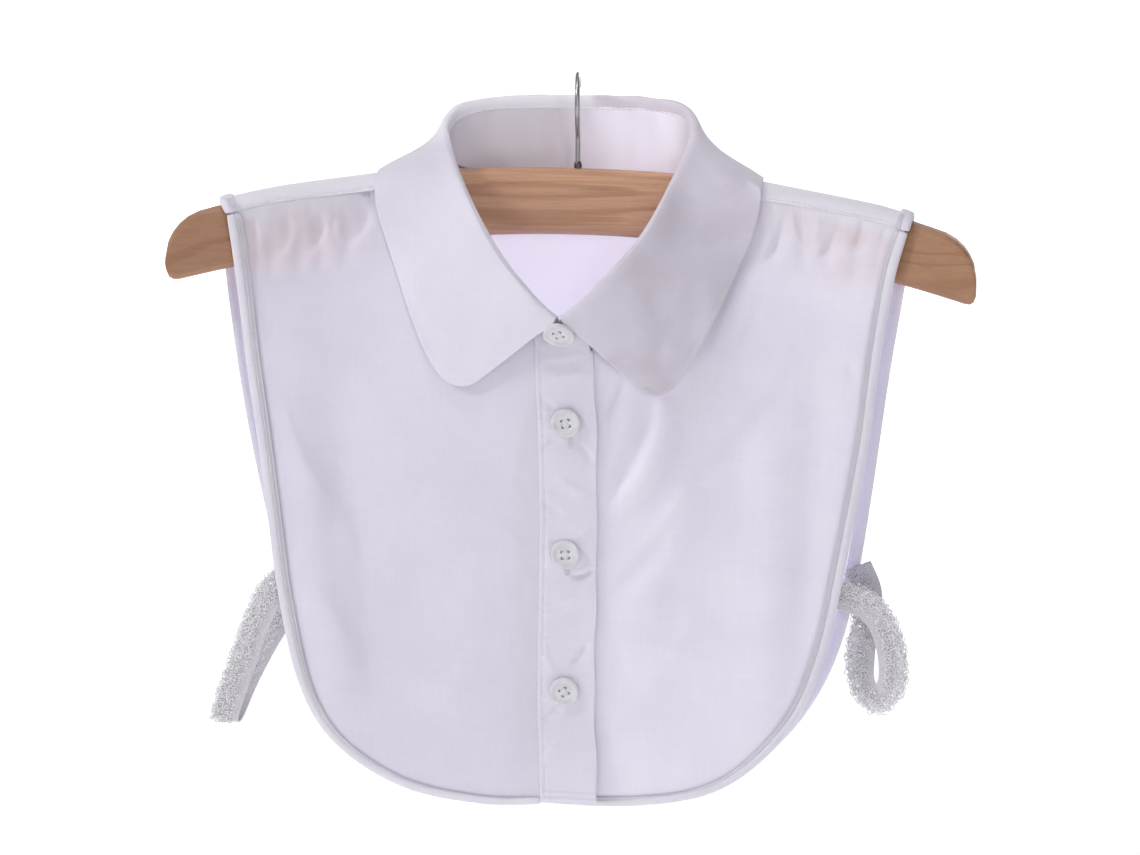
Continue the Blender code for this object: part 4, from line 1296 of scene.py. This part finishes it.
laces = {
    "right": {
        "node": "lace_right",
        "rows": (
            (-137.5, -29.3, -239, -38), (-144.5, -29.3, -246.5, -32),
            (-151, -29, -260, -26), (-157.5, -28.2, -277, -20),
            (-164.5, -26.8, -296, -12), (-168.6, -24.4, -308, -4),
            (-168.9, -21.8, -311.5, -2), (-167, -19.4, -308, -6),
            (-161, -17.8, -293, -18), (-153, -16.8, -277, -26),
            (-146, -16.4, -265, -32), (-139, -16.4, -254, -34),
        ),
        "edge": -1,
    },
    "left": {
        "node": "lace_left",
        "rows": (
            (124.5, -29.2, -239.5, 78), (133, -29, -242, 72),
            (141.5, -28, -246, 58), (148.5, -26.5, -255, 30),
            (152.5, -25, -269, 8), (152.5, -23.5, -283, -20),
            (146.5, -21.6, -291.5, -84), (139.3, -19.8, -285, -136),
            (137.8, -18.4, -270, -178), (140.5, -17.4, -254, -190),
            (140.5, -16.6, -240, -174), (135.5, -16.4, -228, -158),
        ),
        "edge": 1,
    },
}


def laceSurface(rows):
    fine = through(rows, 10)
    marks = lengthsAlong(fine[:, :3])
    turns = np.radians(fine[:, 3])
    ways = np.stack((np.cos(turns), 0.0 * turns, np.sin(turns)), axis=-1)
    normals = unit(np.cross(ways, runsAlong(fine[:, :3])))

    def spot(along, across, out=0.0):
        row = np.array([np.interp(along, marks, column) for column in fine.T])
        normal = np.array([np.interp(along, marks, column) for column in normals.T])
        angle = math.radians(row[3])
        way = np.array((math.cos(angle), 0.0, math.sin(angle)))
        return row[:3] + way * across + normal * out

    return spot, marks[-1]


def makeLace(key):
    facts = laces[key]
    spot, length = laceSurface(facts["rows"])
    edge = facts["edge"]
    across = np.array((-6.4, -6.1, -5.4, -4.2, -3.0, -1.8, -0.6, 0.4, 1.4, 2.2))
    along = np.arange(0.0, length, 0.8)
    rows = []
    for s in along:
        row = []
        for a in across:
            rib = 0.16 * math.cos(2.0 * math.pi * (a + 6.4) / 1.2) + 0.10 * math.sin(2.0 * math.pi * s / 1.6)
            row.append(spot(s, edge * a, rib))
        rows.append(row)
    faces = gridFaces(len(along), len(across))
    band = newPiece(key + "LaceBand", np.array(rows).reshape(-1, 3), faces)
    wall = band.modifiers.new("wall", "SOLIDIFY")
    wall.thickness = 0.8 * mm
    wall.offset = 0.0
    finish(band)
    band.data.shade_smooth()
    place(band, laceGround, "lace", [facts["node"]])
    work = {"points": [], "faces": []}
    step = 4.4
    for number in range(int(length / step)):
        middle = (number + 0.5) * step
        loop = []
        for t in np.linspace(0.0, 2.0 * math.pi, 31):  # a five-petalled flower
            reach = 1.45 + 0.7 * math.cos(5.0 * t)
            lift = 0.35 * math.sin(5 * t)
            loop.append(spot(middle + reach * math.cos(t), edge * (2.9 + reach * math.sin(t)), lift))
        addTube(work, loop, 0.44, 5)
        for size, lift in ((2.55, 0.0), (1.6, 0.3)):  # the scallop round it
            arc = []
            for t in np.linspace(-0.25 * math.pi, 1.25 * math.pi, 15):
                arc.append(spot(middle + size * math.cos(t), edge * (3.3 + size * 1.1 * math.sin(t)), lift))
            addTube(work, arc, 0.44, 5)
        for shift in (-2.2, 0.0):  # bars back to the band
            bar = [spot(middle + shift, edge * a, 0.1) for a in (0.2, 1.0, 1.8, 2.6)]
            addTube(work, bar, 0.3, 5)
    draw = np.random.default_rng(len(key))
    for s in np.arange(0.8, length - 0.8, 1.3):  # small looped knots over the outer half
        for a in (-2.6, -1.2, 0.2, 1.6, 3.0, 4.4, 5.6, 6.6):
            s0, a0 = s + draw.uniform(-0.45, 0.45), a + draw.uniform(-0.45, 0.45)
            size, tip, start = draw.uniform(0.5, 1.15), draw.uniform(-0.8, 0.8), draw.uniform(0.0, 6.0)
            face = draw.choice((-1.0, 1.0))
            ring = []
            for t in np.linspace(start, start + 5.6, 8):
                rise = face * (0.85 + draw.uniform(-0.2, 0.2)) + tip * math.sin(t)
                ring.append(spot(s0 + size * math.cos(t), edge * (a0 + size * math.sin(t)), rise))
            addTube(work, ring, 0.27, 4)
    worked = newPiece(key + "LaceWork", work["points"], work["faces"])
    place(worked, lace, "lace")
    return band, worked


print("lace")
rightBand, rightWork = makeLace("right")
leftBand, leftWork = makeLace("left")


# The hanger: a wooden bar and a wire hook

hook = {"wire": 1.2, "radius": 13.5, "tip": 62.0, "turn": 160.0, "foot": -60.0, "swivel": 6.5}


def makeHook():
    ringMiddle = hook["wire"] - hook["radius"]
    lean = math.sin(math.radians(hook["turn"]))
    neck = hook["radius"] * lean / (1.0 - lean)
    neckY = -lean * (hook["radius"] + neck)
    neckZ = ringMiddle + (hook["radius"] + neck) * math.cos(math.radians(hook["turn"]))
    wire = startDisc("wireHook", 20, hook["wire"], hook["foot"])
    for _ in range(8):
        drawOut((neckZ - hook["foot"]) / 8)
    bpy.ops.mesh.spin(
        steps=8,
        angle=-math.radians(hook["turn"] - 90.0),
        center=(0.0, neckY * mm, neckZ * mm),
        axis=(1.0, 0.0, 0.0),
    )
    bpy.ops.mesh.spin(
        steps=36,
        angle=math.radians(hook["turn"] + hook["tip"]),
        center=(0.0, 0.0, ringMiddle * mm),
        axis=(1.0, 0.0, 0.0),
    )
    endDrawing()
    soften(wire, 0.5, 3, 60.0)
    wire.data.transform(Matrix.Rotation(math.radians(hook["swivel"]), 4, "Z"))
    place(wire, steel, "wire", ["hanger_hook"])
    return wire


ferrule = {"radius": 1.9, "foot": -43.2, "steps": ((1.6, 1.0), (0.9, 0.86), (0.6, 0.8))}


def makeFerrule():  # the turned ring where the wire enters the bar
    ring = startDisc("hookFerrule", 28, ferrule["radius"], ferrule["foot"])
    for rise, narrow in ferrule["steps"]:
        drawOut(rise, narrow)
    endDrawing()
    place(soften(ring, 0.2, 2, 25.0), darkSteel, "wire")


print("hanger")
hookPiece = makeHook()
makeFerrule()
bar = frame["nodes"]["hanger_bar"]
bar.data.materials.clear()
bar.data.materials.append(wood)


# What each sheet was cut to

sheets = (
    (rightFront, (0.172, 0.292), 0.0415, "hung", ["hanger_bar"]),
    (leftFront, (0.186, 0.292), 0.0450, "hung", ["hanger_bar"]),
    (backPiece, (0.340, 0.315), 0.0900, "hung", ["hanger_bar"]),
    (placketPiece, (0.027, 0.222), None, "hung", [rightFront]),
    (leafPiece, (0.400, 0.070), 0.0220, "folded", [standPiece]),
    (standPiece, (0.385, 0.028), 0.0080, "folded", [backPiece, rightFront]),
    (bindingPieces["rightFront"], (0.014, 0.400), None, "folded", [rightFront]),
    (bindingPieces["leftFront"], (0.014, 0.410), None, "folded", [leftFront]),
    (bindingPieces["rightBack"], (0.013, 0.860), None, "folded", [backPiece]),
    (rightBand, (0.013, 0.165), 0.00125, "hung", [rightFront]),
    (leftBand, (0.013, 0.150), 0.00115, "hung", [leftFront]),
)
withPieces = {rightBand.name: [rightWork], leftBand.name: [leftWork], placketPiece.name: [frontThread]}
for piece, flat, area, held, under in sheets:
    half = sum(face.area for face in piece.data.polygons) / 2
    print(f"  {piece.name}: flat {flat}, area given {area}, half the surface {half:.5f}")
    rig.sheet(
        piece, flat=flat, held=held, rests_on=under, area=area, with_pieces=withPieces.get(piece.name, [])
    )


# Floor, light and camera

studio = {"floor": -460.0, "turn": 8.0, "rise": 8.5, "away": 1800.0, "lens": 120.375}
target = np.array((-0.3, -25.04, -163.97))


def makeFloor():
    profile = [(y, 0.0) for y in (-4500.0, -2600.0, -1000.0, 0.0, 1200.0, 2400.0)]
    for degrees in np.linspace(0.0, 90.0, 13):
        angle = math.radians(degrees)
        profile.append((3000.0 + 700.0 * math.sin(angle), 700.0 * (1.0 - math.cos(angle))))
    profile.append((3700.0, 2600.0))
    across = (4500.0, 2200.0, 0.0, -2200.0, -4500.0)
    points = [(x, y, studio["floor"] + z) for x in across for y, z in profile]
    floor = newPiece("paleFloor", points, gridFaces(len(across), len(profile)))
    made, tree, shader, place = startMaterial(
        "pale floor", {"Specular IOR Level": 0.1, "Emission Strength": 1.0}
    )
    away = place.axis("Y")
    glow = away.ramp(0.4, 2.2).mix((0.36, 0.36, 0.36), (0.9, 0.9, 0.9))
    tree.links.new(glow.socket, shader.inputs["Emission Color"])
    paper = place.noise(6.0, 2.0)
    shade = paper.ramp(0.2, 0.8).mix((0.94, 0.94, 0.945), (0.92, 0.92, 0.925))
    feed(tree, shader, shade, paper * 0.1 + 0.85, paper, 0.0005)
    floor.data.materials.append(made)
    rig.stage(floor)


makeFloor()


def addLight(name, spot, size, power, colour):
    light = bpy.data.lights.new(name, "AREA")
    light.shape = "DISK"
    light.size = size
    light.energy = power
    light.color = colour
    lamp = linked(name, light)
    lamp.location = spot
    aim = Vector((0.0, 0.0, -0.17)) - Vector(spot)
    lamp.rotation_euler = aim.to_track_quat("-Z", "Y").to_euler()


addLight("windowLight", (-1.56, -0.98, 1.20), 0.55, 15.0, (1.0, 0.985, 0.98))
addLight("frontLight", (0.85, -2.15, 0.45), 0.5, 5.0, (1.0, 0.99, 1.0))
addLight("topLight", (-0.30, -0.60, 1.60), 0.5, 7.5, (1.0, 0.99, 1.0))
addLight("backLight", (0.9, 1.7, 1.2), 0.9, 7.0, (1.0, 1.0, 1.0))
world = bpy.data.worlds.new("paleRoom")
world.use_nodes = True
world.node_tree.nodes["Background"].inputs["Color"].default_value = (0.95, 0.95, 1.0, 1.0)
world.node_tree.nodes["Background"].inputs["Strength"].default_value = 0.25
scene.world = world
scene.view_settings.view_transform = "Standard"

turn, rise = math.radians(studio["turn"]), math.radians(studio["rise"])
way = np.array((math.sin(turn) * math.cos(rise), -math.cos(turn) * math.cos(rise), math.sin(rise)))
lens = bpy.data.cameras.new("camera")
lens.sensor_width = 36.0
lens.sensor_fit = "HORIZONTAL"
lens.lens = studio["lens"]
lens.clip_end = 30.0
camera = linked("camera", lens)
camera.location = (target + way * studio["away"]) * mm
camera.rotation_euler = (-Vector(way)).to_track_quat("-Z", "Y").to_euler()
scene.camera = camera

sizes = {"cad": [list(corner) for corner in cadBox], "visual": [list(corner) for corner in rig.bounds()]}
with open("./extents.json", "w") as report:
    json.dump(sizes, report)
print("done")
